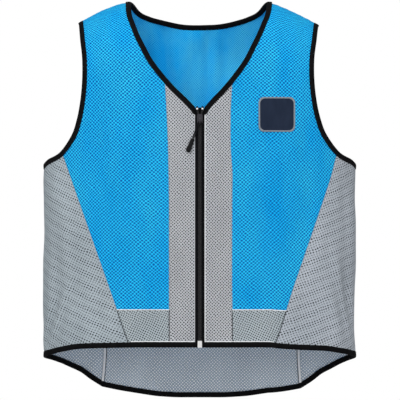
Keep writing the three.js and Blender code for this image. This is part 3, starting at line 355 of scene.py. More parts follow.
def seam(top, foot, way_of, back=False, samples=400):
    (top_x, foot_x) = (half_width * math.sin(p[0]) for p in (top, foot))
    (top_down, foot_down) = (float(down_at(p)) for p in (top, foot))
    down = np.linspace(top_down, foot_down, samples + 1)
    x = top_x + (foot_x - top_x) * way_of((down - top_down) / (foot_down - top_down))
    line = place(x, down, back)
    line[0], line[-1] = top, foot
    return line


def hem_line(from_turn, to_turn, rows, samples=200):
    degrees = np.linspace(from_turn, to_turn, samples + 1)
    mirror = np.where(degrees > 180, 360 - degrees, degrees)
    down = front_length + (back_length - front_length) * read_table(rows, mirror)
    turn = np.radians(degrees)
    line = place(half_width * np.sin(turn), down)
    return np.stack([turn, line[:, 1]], -1)


def turn_at(x):
    return math.degrees(math.asin(x / half_width))


def front_hem_place(x):
    return hem_line(turn_at(x), 90, HEM_FRONT)[0]


def straight(share):
    return share


print("the facing meets the hem", round(turn_at(facing_half_width), 1), "degrees from the front")


# %% Edges and seams of the vest
armhole_places = [
    place(shoulder_half_width + (half_width - shoulder_half_width) * out,
          shoulder_tip_fall + (armhole_depth - shoulder_tip_fall) * down) for out, down in ARMHOLE
]
armhole_edge = smooth_line(armhole_places, 0, ARMHOLE_SEAM_ROW)
underarm_edge = smooth_line(armhole_places, ARMHOLE_SEAM_ROW, len(ARMHOLE) - 1, 120)
neck_places = [place(neck_half_width * out, front_neck_depth * down) for out, down in V_NECK]
neck_places.append(place(zip_opening, front_neck_depth))
neck_edge = smooth_line(neck_places, 0, NECK_SEAM_ROW)
facing_top = smooth_line(neck_places, NECK_SEAM_ROW, len(neck_places) - 1, 160)
back_neck_places = [place(neck_half_width * out, back_neck_depth * down, True) for out, down in BACK_NECK]
back_neck_edge = smooth_line(back_neck_places, 0, len(BACK_NECK) - 1)
facing_seam = seam(facing_top[0], front_hem_place(facing_half_width), lambda s: read_table(FACING_SEAM, s))
front_side_seam = seam(underarm_edge[0], front_hem_place(front_seam_foot), straight)
back_side_seam = seam(
    to_back(underarm_edge[0]), hem_line(180 - turn_at(back_seam_foot), 180, HEM_TAIL)[0],
    lambda s: read_table(BACK_SEAM, s), back=True,
)
zip_edge = seam(facing_top[-1], front_hem_place(zip_opening), straight)
print("front neck down to", round(float(down_at(facing_top[-1])), 1), "mm")

# %% [markdown]
# Cloth between four seams is filled by blending the seams across, which is how a pattern piece is eased
# to its neighbours. The grid is fine enough for soft folds, with a few extra lines beside each seam.

# %% Blend four seams into a sheet
def at(line, share):
    k = np.clip(share, 0, 1) * (len(line) - 1)
    i = np.minimum(k.astype(int), len(line) - 2)
    return line[i] + (line[i + 1] - line[i]) * (k - i)[..., None]


def chain(*stretches):
    """One line from several, each with its share of the whole."""
    def read(share):
        share = np.asarray(share, float)
        found = np.zeros(share.shape + (2,))
        start = 0.0
        for line, size in stretches:
            inside = (share >= start - 1e-9) & (share <= start + size + 1e-9)
            found[inside] = at(line, (share[inside] - start) / size)
            start += size
        return found
    return read


def steps(count, length, close=(0.5, 1.1, 2.0, 3.2, 5.0, 8.0)):
    near = np.array(close) / length
    return np.unique(np.round(np.concatenate([np.linspace(0, 1, count), near, 1 - near]), 5))


def blend(top, bottom, left, right, s, t):
    s, t = s[None, :, None], t[:, None, None]
    corners = (
        (top[0] * (1 - s) + top[-1] * s) * (1 - t) + (bottom[0] * (1 - s) + bottom[-1] * s) * t
    )
    return left[:, None] * (1 - s) + right[:, None] * s + top[None] * (1 - t) + bottom[None] * t - corners


def girth_of(turn, chest=260.0):
    """Millimetres round the vest from its front, at chest height."""
    fine = np.linspace(-math.pi, 3 * math.pi, 4001)
    length = lengths_along(shell(fine, np.full_like(fine, chest)))
    length -= np.interp(0, fine, length)
    return np.interp(turn, fine, length)


print("girth at the chest:", round(float(girth_of(2 * math.pi))), "mm")

# %% [markdown]
# Worn cloth is never smooth. Everywhere it has long, low ripples, which are a sum of a few slanting waves
# with drawn places. Where it is loose, as at the foot of the sides and inside the back, it gathers into
# pleats, which are waves under a soft fading.

# %% Ripples and gathers
soft_waves = np.random.default_rng(7)
WAVES = [
    (soft_waves.uniform(0.012, 0.05), soft_waves.uniform(0, math.pi), soft_waves.uniform(0, 6.28))
    for _ in range(14)
]


def ripples(u, v, height):
    total = np.zeros_like(u)
    for pace, heading, phase in WAVES:
        lengthways = 0.45 * v * math.sin(heading) + u * math.cos(heading)
        total += np.sin(pace * 2 * math.pi * lengthways * 0.7 + phase) * 0.03 / (pace + 0.01)
    return height * total / 3


# Gathers: degrees round, then in millimetres down, height, wavelength, reach across and reach down, and
# last their lean, as millimetres aside for each one down.
BACK_GATHERS = [
    (193, 160, 4.4, 40, 30, 90, 0.08), (177, 165, 3.4, 32, 22, 90, 0), (180, 420, 1.6, 70, 90, 120, 0),
]
SIDE_GATHERS = {
    -1: [(-66, 590, 3.2, 34, 28, 62, 0.5), (-62, 300, 1.2, 34, 40, 90, 0.2)],
    1: [(68, 570, 2.4, 34, 26, 75, -0.3), (64, 300, 1.1, 30, 36, 80, -0.2)],
}


def gathered(u, v, rows):
    total = np.zeros_like(u)
    for degrees, down, height, wavelength, across, lengthways, lean in rows:
        aside = u - girth_of(math.radians(degrees)) + lean * (v - down)
        fade = np.exp(-((aside / across) ** 2) - ((v - down) / lengthways) ** 2)
        total += height * np.cos(2 * math.pi * aside / wavelength) * fade
    return total


print(len(WAVES), "waves and", len(BACK_GATHERS) + sum(map(len, SIDE_GATHERS.values())), "gathers")


# %% Make a mesh and put it in its place
def grid_faces(rows, columns):
    k = np.arange(rows * columns).reshape(rows, columns)
    return np.stack([k[:-1, :-1], k[1:, :-1], k[1:, 1:], k[:-1, 1:]], -1).reshape(-1, 4)


def make_mesh(name, points, faces, uv):
    mesh = bpy.data.meshes.new(name)
    mesh.from_pydata((points.reshape(-1, 3) * MM).tolist(), [], faces)
    mesh.shade_smooth()
    layer = mesh.uv_layers.new(name="cloth")
    corner = np.empty(len(mesh.loops), dtype=np.int32)
    mesh.loops.foreach_get("vertex_index", corner)
    layer.data.foreach_set("uv", (uv.reshape(-1, 2) * MM)[corner].ravel())
    return add_object(name, mesh)


def dress(piece, slot, materials, *replaced):
    for material in materials:
        piece.data.materials.append(material)
    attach(piece, "root")
    if replaced:
        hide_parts(*replaced)


# %% [markdown]
# Sewing pulls the cloth in. Beside a seam it forms a small valley, then a low roll, with puckers that fade
# within a finger's breadth. A binding hides the edge inside it, so the cloth stops short of the fold there.
# The soft folds fade towards every edge, because seams and tapes hold the cloth flat.

# %% Seams and puckers, in millimetres
valley_depth, valley_width = 0.75, 1.3
roll_height, roll_at, roll_width = 0.25, 3, 1.8
pucker_height, pucker_reach, pucker_start = 0.3, 9, 1.5
calm_reach, far_from_seams = 16, 1e3
FLAT_SIZES = {}


def seam_relief(to_seam, u, v):
    valley = -valley_depth * np.exp(-((to_seam / valley_width) ** 2))
    roll = roll_height * np.exp(-(((to_seam - roll_at) / roll_width) ** 2))
    waves = np.sin((u + v) * 0.33) + 0.7 * np.sin((v - u) * 0.51 + 1)
    puckers = pucker_height * np.exp(-to_seam / pucker_reach) * waves
    return valley + roll + puckers * (1 - np.exp(-to_seam / pucker_start))


print("a seam lies", valley_depth, "mm deep, with puckers over", pucker_reach, "mm")


# %% Fill a pattern piece
def drawn_in(grid, shares, size, start, end, inset=1.6, eased_over=12.0):
    """Draws the grid's first and last columns in, where they lie inside a binding."""
    reach = eased_over / size
    from_start = inset / size * start[:, None] * np.maximum(0, 1 - shares / reach)
    from_end = inset / size * end[:, None] * np.maximum(0, 1 - (1 - shares) / reach)
    wanted = shares + from_start - from_end
    return np.stack([read_at(w, shares, row) for w, row in zip(wanted, grid)])


def lengths_in(grid, axis):
    step = np.linalg.norm(np.diff(grid, axis=axis), axis=2)
    return np.insert(np.cumsum(step, axis), 0, 0, axis=axis)


def cloth_piece(name, edges, sewn, wall, across, down, lengths, stretch=1.0, softness=0.8, gathers=()):
    """A pattern piece. sewn: for each edge, which share of it is a seam and not inside a binding."""
    width, length = lengths
    s, t = steps(across, width), steps(down, length)
    grid = blend(edges["top"](s), edges["bottom"](s), edges["left"](t), edges["right"](t), s, t)
    grid = drawn_in(grid, s, width, ~sewn["left"](t), ~sewn["right"](t))
    grid = drawn_in(grid.swapaxes(0, 1), t, length, ~sewn["top"](s), ~sewn["bottom"](s)).swapaxes(0, 1)
    turn, along = grid[..., 0], np.maximum(grid[..., 1], 0)
    p = draped(turn, along)
    n = normal_of(draped, turn, np.maximum(along, least_along))
    u, v = girth_of(turn), along + shoulder_fall(half_width * np.sin(turn))
    from_left, from_top = lengths_in(p, 1), lengths_in(p, 0)
    gaps = (from_left, from_left[:, -1:] - from_left, from_top, from_top[-1:] - from_top)
    is_sewn = [sewn[key](t)[:, None] for key in ("left", "right")]
    is_sewn += [sewn[key](s)[None] for key in ("top", "bottom")]
    to_seam = np.minimum.reduce([np.where(here, gap, far_from_seams) for gap, here in zip(gaps, is_sewn)])
    calm = 1 - np.exp(-((np.minimum.reduce(gaps) / calm_reach) ** 2))
    soft = ripples(u, v, softness) + gathered(u, v, gathers)
    p = p + n * (seam_relief(to_seam, u, v) + soft * calm)[..., None]
    faces = grid_faces(*turn.shape)
    middle = faces[len(faces) // 2]
    a, b, c = p.reshape(-1, 3)[middle[:3]]
    if np.dot(np.cross(b - a, c - a), n.reshape(-1, 3)[middle[0]]) < 0:
        faces = faces[:, ::-1]
    piece = make_mesh(name, p, faces.tolist(), np.stack([u / stretch, v], -1))
    thickness = piece.modifiers.new("cloth", "SOLIDIFY")
    thickness.thickness = wall * MM
    thickness.offset = -1
    thickness.material_offset = 1
    thickness.material_offset_rim = 0
    area = np.linalg.norm(np.cross(p[1:, 1:] - p[:-1, :-1], p[1:, :-1] - p[:-1, 1:]), axis=2).sum() / 2
    FLAT_SIZES[name] = (from_left[:, -1].max() * MM, from_top[-1].max() * MM, area * MM * MM)
    return piece


# %% [markdown]
# Both cloths are knits with rows of small holes. The holes of one row stand between those of the next,
# except on the side panels, where they stand in line. Rows of round dots are worked out from the cloth's
# own coordinates in metres, so they stay the same size on every piece. The same group of nodes serves the
# blue cloth, the grey mesh and its inside, and each material gives it its own spacing, size and colours.

# %% Node helpers
def feed(tree, socket, value):
    if isinstance(value, bpy.types.NodeSocket):
        tree.links.new(value, socket)
    elif value is not None:
        socket.default_value = value


def node(tree, kind, inputs=None, **settings):
    made = tree.nodes.new(kind)
    for key, value in settings.items():
        setattr(made, key, value)
    for key, value in (inputs or {}).items():
        feed(tree, made.inputs[key], value)
    return made


def calc(tree, operation, a, b=None, c=None, clamp=False):
    values = {0: a, 1: b, 2: c}
    return node(tree, "ShaderNodeMath", values, operation=operation, use_clamp=clamp).outputs[0]


def vector(tree, operation, a, b=None):
    made = node(tree, "ShaderNodeVectorMath", {0: a, 1: b}, operation=operation)
    return made.outputs["Value" if operation == "LENGTH" else "Vector"]


def scaled_by(tree, place, scale):
    return node(tree, "ShaderNodeVectorMath", {0: place, "Scale": scale}, operation="SCALE").outputs[0]


def rotated(tree, place, angle, axis="Z_AXIS"):
    values = {"Vector": place, "Angle": angle}
    return node(tree, "ShaderNodeVectorRotate", values, rotation_type=axis).outputs[0]


def parts_of(tree, place):
    return node(tree, "ShaderNodeSeparateXYZ", {0: place}).outputs


def blend_colour(tree, share, a, b):
    return node(tree, "ShaderNodeMix", {"Factor": share, 6: a, 7: b}, data_type="RGBA").outputs[2]


def new_group(name, inputs, outputs):
    tree = bpy.data.node_groups.new(name, "ShaderNodeTree")
    for title, kind, value in inputs:
        socket = tree.interface.new_socket(title, in_out="INPUT", socket_type=kind)
        if value is not None:
            socket.default_value = value
    for title, kind in outputs:
        tree.interface.new_socket(title, in_out="OUTPUT", socket_type=kind)
    return tree, tree.nodes.new("NodeGroupInput"), tree.nodes.new("NodeGroupOutput")


# %% Staggered holes
hole_tree, hole_in, hole_out = new_group(
    "staggered holes",
    [("Place", "NodeSocketVector", None), ("Spacing", "NodeSocketFloat", 0.005),
     ("Radius", "NodeSocketFloat", 0.001), ("Softness", "NodeSocketFloat", 0.0006),
     ("Lean", "NodeSocketFloat", 0.0), ("Stagger", "NodeSocketFloat", 0.5)],
    [("Hole", "NodeSocketFloat")],
)
wander_values = {"Scale": 90.0, "Detail": 1.0, "Vector": hole_in.outputs["Place"]}
wander = node(hole_tree, "ShaderNodeTexNoise", wander_values)
wander_way = vector(hole_tree, "SUBTRACT", wander.outputs["Color"], (0.5, 0.5, 0.5))
wander_step = vector(hole_tree, "MULTIPLY", wander_way, (0.0035, 0.0035, 0.0))
wandered = vector(hole_tree, "ADD", hole_in.outputs["Place"], wander_step)
turned = rotated(hole_tree, wandered, hole_in.outputs["Lean"])
lattice = scaled_by(hole_tree, turned, calc(hole_tree, "DIVIDE", 1.0, hole_in.outputs["Spacing"]))
stagger = hole_in.outputs["Stagger"]
both_ways = node(hole_tree, "ShaderNodeCombineXYZ", {0: stagger, 1: stagger})
distances = []
for shift in ((0, 0, 0), both_ways.outputs[0]):
    moved = vector(hole_tree, "ADD", lattice, shift)
    centred = vector(hole_tree, "SUBTRACT", vector(hole_tree, "FRACTION", moved), (0.5, 0.5, 0))
    flattened = vector(hole_tree, "MULTIPLY", centred, (1, 1, 0))
    distances.append(vector(hole_tree, "LENGTH", flattened))
nearest = calc(hole_tree, "MULTIPLY", calc(hole_tree, "MINIMUM", *distances), hole_in.outputs["Spacing"])
past_rim = calc(hole_tree, "SUBTRACT", nearest, hole_in.outputs["Radius"])
solid_share = calc(hole_tree, "DIVIDE", past_rim, hole_in.outputs["Softness"], clamp=True)
hole_tree.links.new(calc(hole_tree, "SUBTRACT", 1.0, solid_share), hole_out.inputs["Hole"])
print(hole_tree.name, "in", len(hole_tree.nodes), "nodes")

# %% [markdown]
# Between the holes the yarn makes small slanting loops. Two crossing waves give their relief, and the cloth's
# material also draws the tops of the loops paler, as a painted highlight. A slow noise breaks up the colour a
# little into paler and darker yarn; inside the blue cloth it is turned up into painted sheen on the folds.
# The side mesh is pulled round the body, and its holes open and close in slanting bands, which a third group
# gives.

# %% Knitted loops, uneven colour and bands
loop_tree, loop_in, loop_out = new_group(
    "knitted loops",
    [("Place", "NodeSocketVector", None), ("Pitch", "NodeSocketFloat", 0.0012)],
    [("Height", "NodeSocketFloat")],
)
loop_place = parts_of(loop_tree, loop_in.outputs["Place"])
per_pitch = calc(loop_tree, "DIVIDE", 2 * math.pi, loop_in.outputs["Pitch"])
waves = []
for way in ("ADD", "SUBTRACT"):
    slant = calc(loop_tree, way, loop_place[0], loop_place[1])
    waves.append(calc(loop_tree, "SINE", calc(loop_tree, "MULTIPLY", slant, per_pitch)))
product = calc(loop_tree, "MULTIPLY", *waves)
loop_tree.links.new(calc(loop_tree, "MULTIPLY_ADD", product, 0.5, 0.5), loop_out.inputs["Height"])

mottle_tree, mottle_in, mottle_out = new_group(
    "uneven colour",
    [("Place", "NodeSocketVector", None), ("Size", "NodeSocketFloat", 0.02)],
    [("Share", "NodeSocketFloat")],
)
long_place = vector(mottle_tree, "MULTIPLY", mottle_in.outputs["Place"], (1, 0.4, 1))
mottle_place = scaled_by(mottle_tree, long_place, calc(mottle_tree, "DIVIDE", 1.0, mottle_in.outputs["Size"]))
mottle_noise = node(mottle_tree, "ShaderNodeTexNoise", {"Scale": 1.0, "Detail": 3.0, "Vector": mottle_place})
mottle_tree.links.new(mottle_noise.outputs[0], mottle_out.inputs["Share"])

band_tree, band_in, band_out = new_group(
    "bands",
    [("Place", "NodeSocketVector", None), ("Lean", "NodeSocketFloat", 0.0),
     ("Width", "NodeSocketFloat", 0.02)],
    [("Share", "NodeSocketFloat")],
)
band_place = rotated(band_tree, band_in.outputs["Place"], band_in.outputs["Lean"])
per_width = calc(band_tree, "DIVIDE", 2 * math.pi, band_in.outputs["Width"])
band_phase = calc(band_tree, "MULTIPLY", parts_of(band_tree, band_place)[1], per_width)
band_share = calc(band_tree, "MULTIPLY_ADD", calc(band_tree, "SINE", band_phase), 0.28, 0.82, clamp=True)
band_tree.links.new(band_share, band_out.inputs["Share"])
print([f"{tree.name} in {len(tree.nodes)} nodes" for tree in (loop_tree, mottle_tree, band_tree)])


def group_of(tree, group, **values):
    return node(tree, "ShaderNodeGroup", values, node_tree=group).outputs[0]


# %% [markdown]
# Colours are read from the picture as 0 to 255 and turned into the linear values that Blender
# mixes. A cloth material has a yarn colour and a colour in its holes: dark where shadow shows through,
# pale where the white studio shows through from inside.

# %% Colours and surfaces
def colour(red, green, blue):
    return tuple(((c / 255) / 12.92 if c <= 10 else (((c / 255) + 0.055) / 1.055) ** 2.4)
                 for c in (red, green, blue)) + (1,)


def base_material(name, roughness, specular, metallic=0.0):
    material = bpy.data.materials.new(name)
    material.use_nodes = True
    tree = material.node_tree
    shader = tree.nodes["Principled BSDF"]
    shader.inputs["Roughness"].default_value = roughness
    shader.inputs["Specular IOR Level"].default_value = specular
    shader.inputs["Metallic"].default_value = metallic
    return material, tree, shader


def finish_surface(tree, shader, tint, height, strength, distance):
    values = {"Strength": strength, "Distance": distance, "Height": height}
    tree.links.new(tint, shader.inputs["Base Color"])
    tree.links.new(node(tree, "ShaderNodeBump", values).outputs[0], shader.inputs["Normal"])


def cloth_place(tree):
    return node(tree, "ShaderNodeUVMap", uv_map="cloth").outputs[0]


def solid_place(tree):
    return node(tree, "ShaderNodeTexCoord").outputs["Object"]


# %% Mesh cloth material
def mesh_cloth(name, yarn, pale_yarn_and_highlight, hole, spacing, radius, softness, lean=0.0, stagger=0.5, depth=0.35,
               knit=0.0013, band=0.0, band_lean=0.0, blotches_and_sheen=2.0):
    material, tree, shader = base_material(name, 0.9, specular=0.06)
    cloth = cloth_place(tree)
    holes = group_of(tree, hole_tree, Place=cloth, Spacing=spacing, Radius=radius, Softness=softness,
                     Lean=lean, Stagger=stagger)
    loops = group_of(tree, loop_tree, Place=cloth, Pitch=knit)
    uneven = group_of(tree, mottle_tree, Place=cloth, Size=0.045)
    if band:
        banded = group_of(tree, band_tree, Place=cloth, Lean=band_lean, Width=band)
        holes = calc(tree, "MULTIPLY", holes, banded)
    # Random paler and darker yarn. Where this contrast is set high, as on the inside of the blue cloth, the
    # pale blotches are painted sheen.
    share = calc(tree, "MULTIPLY_ADD", uneven, blotches_and_sheen, 0.5 - blotches_and_sheen / 2, clamp=True)
    body = blend_colour(tree, share, yarn, pale_yarn_and_highlight)
    # Painted highlight: the tops of the knitted loops are drawn in the paler colour.
    loop_highlight = blend_colour(tree, calc(tree, "MULTIPLY", loops, 0.3), body, pale_yarn_and_highlight)
    height = calc(tree, "SUBTRACT", calc(tree, "MULTIPLY", loops, 0.35), holes)
    finish_surface(tree, shader, blend_colour(tree, holes, loop_highlight, hole), height, depth, 0.0006)
    return material


# %% Blue and grey cloths
blue_mesh = mesh_cloth(
    "blue cooling mesh", colour(2, 186, 255), colour(56, 218, 255), colour(0, 74, 160),
    0.0056, 0.00085, 0.0015, knit=0.0014, depth=0.6,
)
# The inside face of the blue cloth is a lighter copy of it. Its paler holes and strong pale blotches are
# painted light and sheen: they lift the inside of the back out of its shade and stand in for its folds.
blue_inside_painted_lighter = mesh_cloth(
    "blue lining side", colour(0, 188, 255), colour(92, 228, 255), colour(0, 140, 226),
    0.0040, 0.0005, 0.0011, knit=0.0011, depth=0.4, blotches_and_sheen=3.6,
)
grey_mesh = mesh_cloth(
    "grey mesh", colour(172, 175, 180), colour(192, 195, 200), colour(22, 24, 30),
    0.0052, 0.00084, 0.0006,
)
foot_mesh = mesh_cloth(
    "grey foot mesh", colour(161, 172, 178), colour(180, 190, 195), colour(30, 36, 42),
    0.0052, 0.00084, 0.0006, lean=math.radians(20),
)
side_mesh_right = mesh_cloth(
    "grey side mesh, right", colour(154, 165, 172), colour(175, 186, 193), colour(2, 4, 10),
    0.0041, 0.00088, 0.0006, lean=math.radians(-25), stagger=0.0, band=0.017, band_lean=math.radians(-25),
)
side_mesh_left = mesh_cloth(
    "grey side mesh, left", colour(160, 168, 176), colour(181, 188, 197), colour(2, 4, 10),
    0.0041, 0.00088, 0.0006, lean=math.radians(20), stagger=0.0, band=0.016, band_lean=math.radians(20),
)
grey_inside = mesh_cloth(
    "inside of the grey mesh", colour(146, 163, 180), colour(172, 188, 203), colour(255, 255, 255),
    0.0054, 0.0007, 0.0008,
)
print("materials so far:", [material.name for material in bpy.data.materials])

# %% [markdown]
# The pattern pieces. Each side has a blue front from the shoulder to a cross seam, a grey panel under
# that, a grey strip beside the zip and a grey side panel that wraps from front to back under the arm. The
# back is one blue piece with a grey foot. An edge inside a binding stops just short of the fold.

# %% Shares of the edges
armhole_share, neck_share, shoulder_share = 8 / 15, 5 / 15, 0.25


def whole(share):
    return np.ones_like(share, dtype=bool)


def none(share):
    return np.zeros_like(share, dtype=bool)


def past_armhole(share):
    return share > armhole_share


def past_neck(share):
    return share > neck_share


def shoulders(share):
    return (share < shoulder_share) | (share > 1 - shoulder_share)


sewn_sides = {"top": none, "bottom": none, "left": whole, "right": whole}
sewn_above_hem = {"top": whole, "bottom": none, "left": whole, "right": whole}
shoulder_turns = np.linspace(armhole_edge[0][0], neck_edge[0][0], 81)
shoulder_line = np.stack([shoulder_turns, np.zeros_like(shoulder_turns)], -1)


def cross_line(from_turn, to_turn, samples=160):
    turn = np.linspace(from_turn, to_turn, samples + 1)
    line = place(half_width * np.sin(turn), cross_seam_drop)
    return np.stack([turn, line[:, 1]], -1)


def cut_at_cross(line):
    down = down_at(line)
    k = int(np.argmin(np.abs(down - cross_seam_drop)))
    return line[: k + 1], line[k:]


# %% Cut the seams into pieces' edges
upper_side_seam, lower_side_seam = cut_at_cross(front_side_seam)
upper_facing_seam, lower_facing_seam = cut_at_cross(facing_seam)
upper_back_seam, lower_back_seam = cut_at_cross(back_side_seam)
front_cross = cross_line(upper_side_seam[-1][0], upper_facing_seam[-1][0])
back_cross = cross_line(upper_back_seam[-1][0], 2 * math.pi - upper_back_seam[-1][0])


def hem_stretch(from_x, to_x):
    return hem_line(turn_at(from_x), turn_at(to_x), HEM_FRONT)


side_hem = np.vstack([
    hem_line(turn_at(front_seam_foot), 90, HEM_FRONT),
    hem_line(90, 180 - turn_at(back_seam_foot), HEM_FRONT)[1:],
])
side_hem[-1] = back_side_seam[-1]
tail_hem = hem_line(180 - turn_at(back_seam_foot), 180 + turn_at(back_seam_foot), HEM_TAIL, 400)
print("cross seam", cross_seam_drop, "mm down, on the fronts and on the back")

# %% Fronts, facings and side panels
for side, name in SIDES:
    def edge(*stretches, side=side):
        return chain(*((on_side(side, line), share) for line, share in stretches))

    body_front = cloth_piece(
        f"front_body_{name}",
        {"top": edge((shoulder_line, 1)), "bottom": edge((front_cross, 1)),
         "left": edge((armhole_edge, armhole_share), (upper_side_seam, 1 - armhole_share)),
         "right": edge((neck_edge, neck_share), (upper_facing_seam, 1 - neck_share))},
        {"top": whole, "bottom": whole, "left": past_armhole, "right": past_neck},
        panel_wall, 56, 170, (110, 560), stretch=1.12,
    )
    dress(body_front, "blue_mesh", (blue_mesh, blue_inside_painted_lighter), f"front_panel_{name}")
    facing = cloth_piece(
        f"facing_{name}",
        {"top": edge((facing_top, 1)), "bottom": edge((hem_stretch(facing_half_width, zip_opening), 1)),
         "left": edge((facing_seam, 1)), "right": edge((zip_edge, 1))},
        sewn_sides, mesh_wall, 20, 150, (44, 430),
    )
    dress(facing, "grey_mesh", (grey_mesh, grey_inside), f"zip_facing_{name}")
    hem_front = cloth_piece(
        f"front_foot_{name}",
        {"top": edge((front_cross, 1)), "bottom": edge((hem_stretch(front_seam_foot, facing_half_width), 1)),
         "left": edge((lower_side_seam, 1)), "right": edge((lower_facing_seam, 1))},
        sewn_above_hem, mesh_wall, 30, 26, (80, 62),
    )
    dress(hem_front, "grey_mesh", (foot_mesh, grey_inside), f"front_hem_panel_{name}")
    flank = cloth_piece(
        f"flank_{name}",
        {"top": edge((underarm_edge, 0.5), (to_back(underarm_edge)[::-1], 0.5)),
         "bottom": edge((side_hem, 1)),
         "left": edge((front_side_seam, 1)), "right": edge((back_side_seam, 1))},
        sewn_sides, mesh_wall, 90, 130, (240, 350), stretch=1.25, softness=1.2, gathers=SIDE_GATHERS[side],
    )
    side_mesh = side_mesh_right if side < 0 else side_mesh_left
    dress(flank, "side_mesh", (side_mesh, grey_inside), f"side_panel_{name}")
    print("made", [piece.name for piece in (body_front, facing, hem_front, flank)])


# %% Back
def left_swayed(line):
    return np.where((np.sin(line[:, :1]) > 0) & (line[:, :1] < math.pi), swayed(line), line)


back_armhole, back_shoulder = to_back(armhole_edge), to_back(shoulder_line)
back_left = chain((swayed(back_armhole), armhole_share), (swayed(upper_back_seam), 1 - armhole_share))
back_right = chain(
    (across_back(back_armhole), armhole_share), (across_back(upper_back_seam), 1 - armhole_share),
)
back_neck = left_swayed(np.vstack([back_neck_edge, across_back(back_neck_edge)[::-1][1:]]))
back_top = chain(
    (left_swayed(back_shoulder), shoulder_share), (back_neck, 1 - 2 * shoulder_share),
    (across_back(back_shoulder)[::-1], shoulder_share),
)
back_body = cloth_piece(
    "back_body",
    {"top": back_top, "bottom": chain((left_swayed(back_cross), 1)), "left": back_left, "right": back_right},
    {"top": shoulders, "bottom": whole, "left": past_armhole, "right": past_armhole},
    panel_wall, 150, 150, (400, 560), softness=2.0, gathers=BACK_GATHERS,
)
dress(back_body, "blue_mesh", (blue_mesh, blue_inside_painted_lighter), "back_panel")
back_foot = cloth_piece(
    "back_foot",
    {"top": chain((left_swayed(back_cross), 1)), "bottom": chain((left_swayed(tail_hem), 1)),
     "left": chain((swayed(lower_back_seam), 1)), "right": chain((across_back(lower_back_seam), 1))},
    sewn_above_hem, mesh_wall, 110, 52, (330, 150),
)
dress(back_foot, "side_mesh", (side_mesh_left, grey_inside), "back_hem_panel")
for name, (width, length, area) in FLAT_SIZES.items():
    print(name, "flat", round(width, 3), "by", round(length, 3), "m, area", round(area, 4), "m2")

# %% [markdown]
# Binding is a strip of black tape folded over the raw edge and sewn through near its free edges. On the
# real vest it is a soft, slightly crowned band about 8 mm wide on both faces. It is swept along the edge
# as a rounded ring of points, each of which follows the cloth's surface. The tape's weave and its row of
# stitches come from the material, which knows how far along and how far across each point is.

# %% Frames along an edge
def edge_frames(line, inward, step=2.6):
    """Points on the edge, and beside them points further into the cloth, at even steps."""
    p = draped(line[:, 0], np.maximum(line[:, 1], 0))
    length = lengths_along(p)
    count = max(4, int(length[-1] / step))
    even = np.linspace(0, length[-1], count + 1)
    turn, along = read_at(even, length, line).T
    e = draped(turn, np.maximum(along, 0))
    n = normal_of(draped, turn, np.maximum(along, least_along))
    tangent = np.gradient(e, axis=0)
    into = np.cross(n, tangent)
    into *= inward / np.linalg.norm(into, axis=1, keepdims=True)
    return e, into, n, even


# %% Section of a binding
def strip_uv(along, across):
    return np.stack(np.broadcast_arrays(along[:, None], across[None]), -1)


def binding_rings(e, into, n, length, groove):
    top, foot = 1.1, -groove - 1.1
    middle = (top + foot) / 2
    across = binding_width + 0.4
    profile = [
        (across, 0.1), (across - 0.15, top - 0.45), (across - 0.7, top - 0.1), (across - 1.5, top - 0.15),
        (across - 1.9, top - 0.4), (across - 2.4, top - 0.1), (across - 4, top + 0.12), (2.4, top + 0.1),
        (1.0, top - 0.15), (0.25, top - 0.8), (0.0, middle), (0.25, foot + 0.8), (1.0, foot + 0.15),
        (2.4, foot - 0.1), (across - 4, foot - 0.12), (across - 2.4, foot + 0.1), (across - 1.9, foot + 0.4),
        (across - 1.5, foot + 0.15), (across - 0.7, foot + 0.1), (across - 0.15, foot + 0.45),
        (across, -groove - 0.1),
    ]
    wave = 0.12 * np.sin(length * 0.9) + 0.08 * np.sin(length * 0.37 + 1)
    rings = [e + into * (u + wave * (u > across - 1))[:, None] + n * w for u, w in profile]
    return np.stack(rings, 1), strip_uv(length, np.array([u for u, _ in profile]))


# %% Meshes of rings
def ring_faces(count, size, closed):
    here = np.arange(count if closed else count - 1)
    after = (here + 1) % count
    i = np.arange(size)
    j = (i + 1) % size
    quads = np.stack(np.broadcast_arrays(
        here[:, None] * size + i, here[:, None] * size + j,
        after[:, None] * size + j, after[:, None] * size + i,
    ), -1).reshape(-1, 4).tolist()
    if not closed:
        quads.append(list(range(size - 1, -1, -1)))
        quads.append([(count - 1) * size + k for k in range(size)])
    return quads


def ring_piece(name, rings, uv, closed=False):
    piece = make_mesh(name, rings, ring_faces(len(rings), rings.shape[1], closed), uv)
    piece.data.validate()
    return piece


def round_rings(centre, aside, other, angles):
    return np.stack([centre + aside * math.cos(a) + other * math.sin(a) for a in angles], 1)


# %% Woven tape with stitches
def tape_material(name, tint, thread, stitch_at=None, pitch=0.0009, stitch_pitch=0.0032):
    material, tree, shader = base_material(name, 0.8, specular=0.03)
    cloth = cloth_place(tree)
    loops = group_of(tree, loop_tree, Place=cloth, Pitch=pitch)
    uneven = group_of(tree, mottle_tree, Place=cloth, Size=0.012)
    # The weave's raised loops are drawn in the paler thread colour, a painted highlight, stronger in random
    # patches.
    shade = blend_colour(tree, calc(tree, "MULTIPLY", uneven, loops), tint, thread)
    height = calc(tree, "MULTIPLY", loops, 0.4)
    if stitch_at is not None:
        along, across = parts_of(tree, cloth)[:2]
        off_row = calc(tree, "ABSOLUTE", calc(tree, "SUBTRACT", across, stitch_at))
        in_row = calc(tree, "LESS_THAN", off_row, 0.0004)
        turn_of = calc(tree, "FRACT", calc(tree, "DIVIDE", along, stitch_pitch))
        stitch = calc(tree, "MULTIPLY", in_row, calc(tree, "LESS_THAN", turn_of, 0.74))
        shade = blend_colour(tree, calc(tree, "MULTIPLY", stitch, 0.8), shade, thread)
        height = calc(tree, "MULTIPLY_ADD", stitch, 1.2, height)
    finish_surface(tree, shader, shade, height, 0.5, 0.0004)
    return material


binding_tape = tape_material("binding tape", colour(6, 6, 7), colour(30, 30, 32), stitch_at=0.0070)

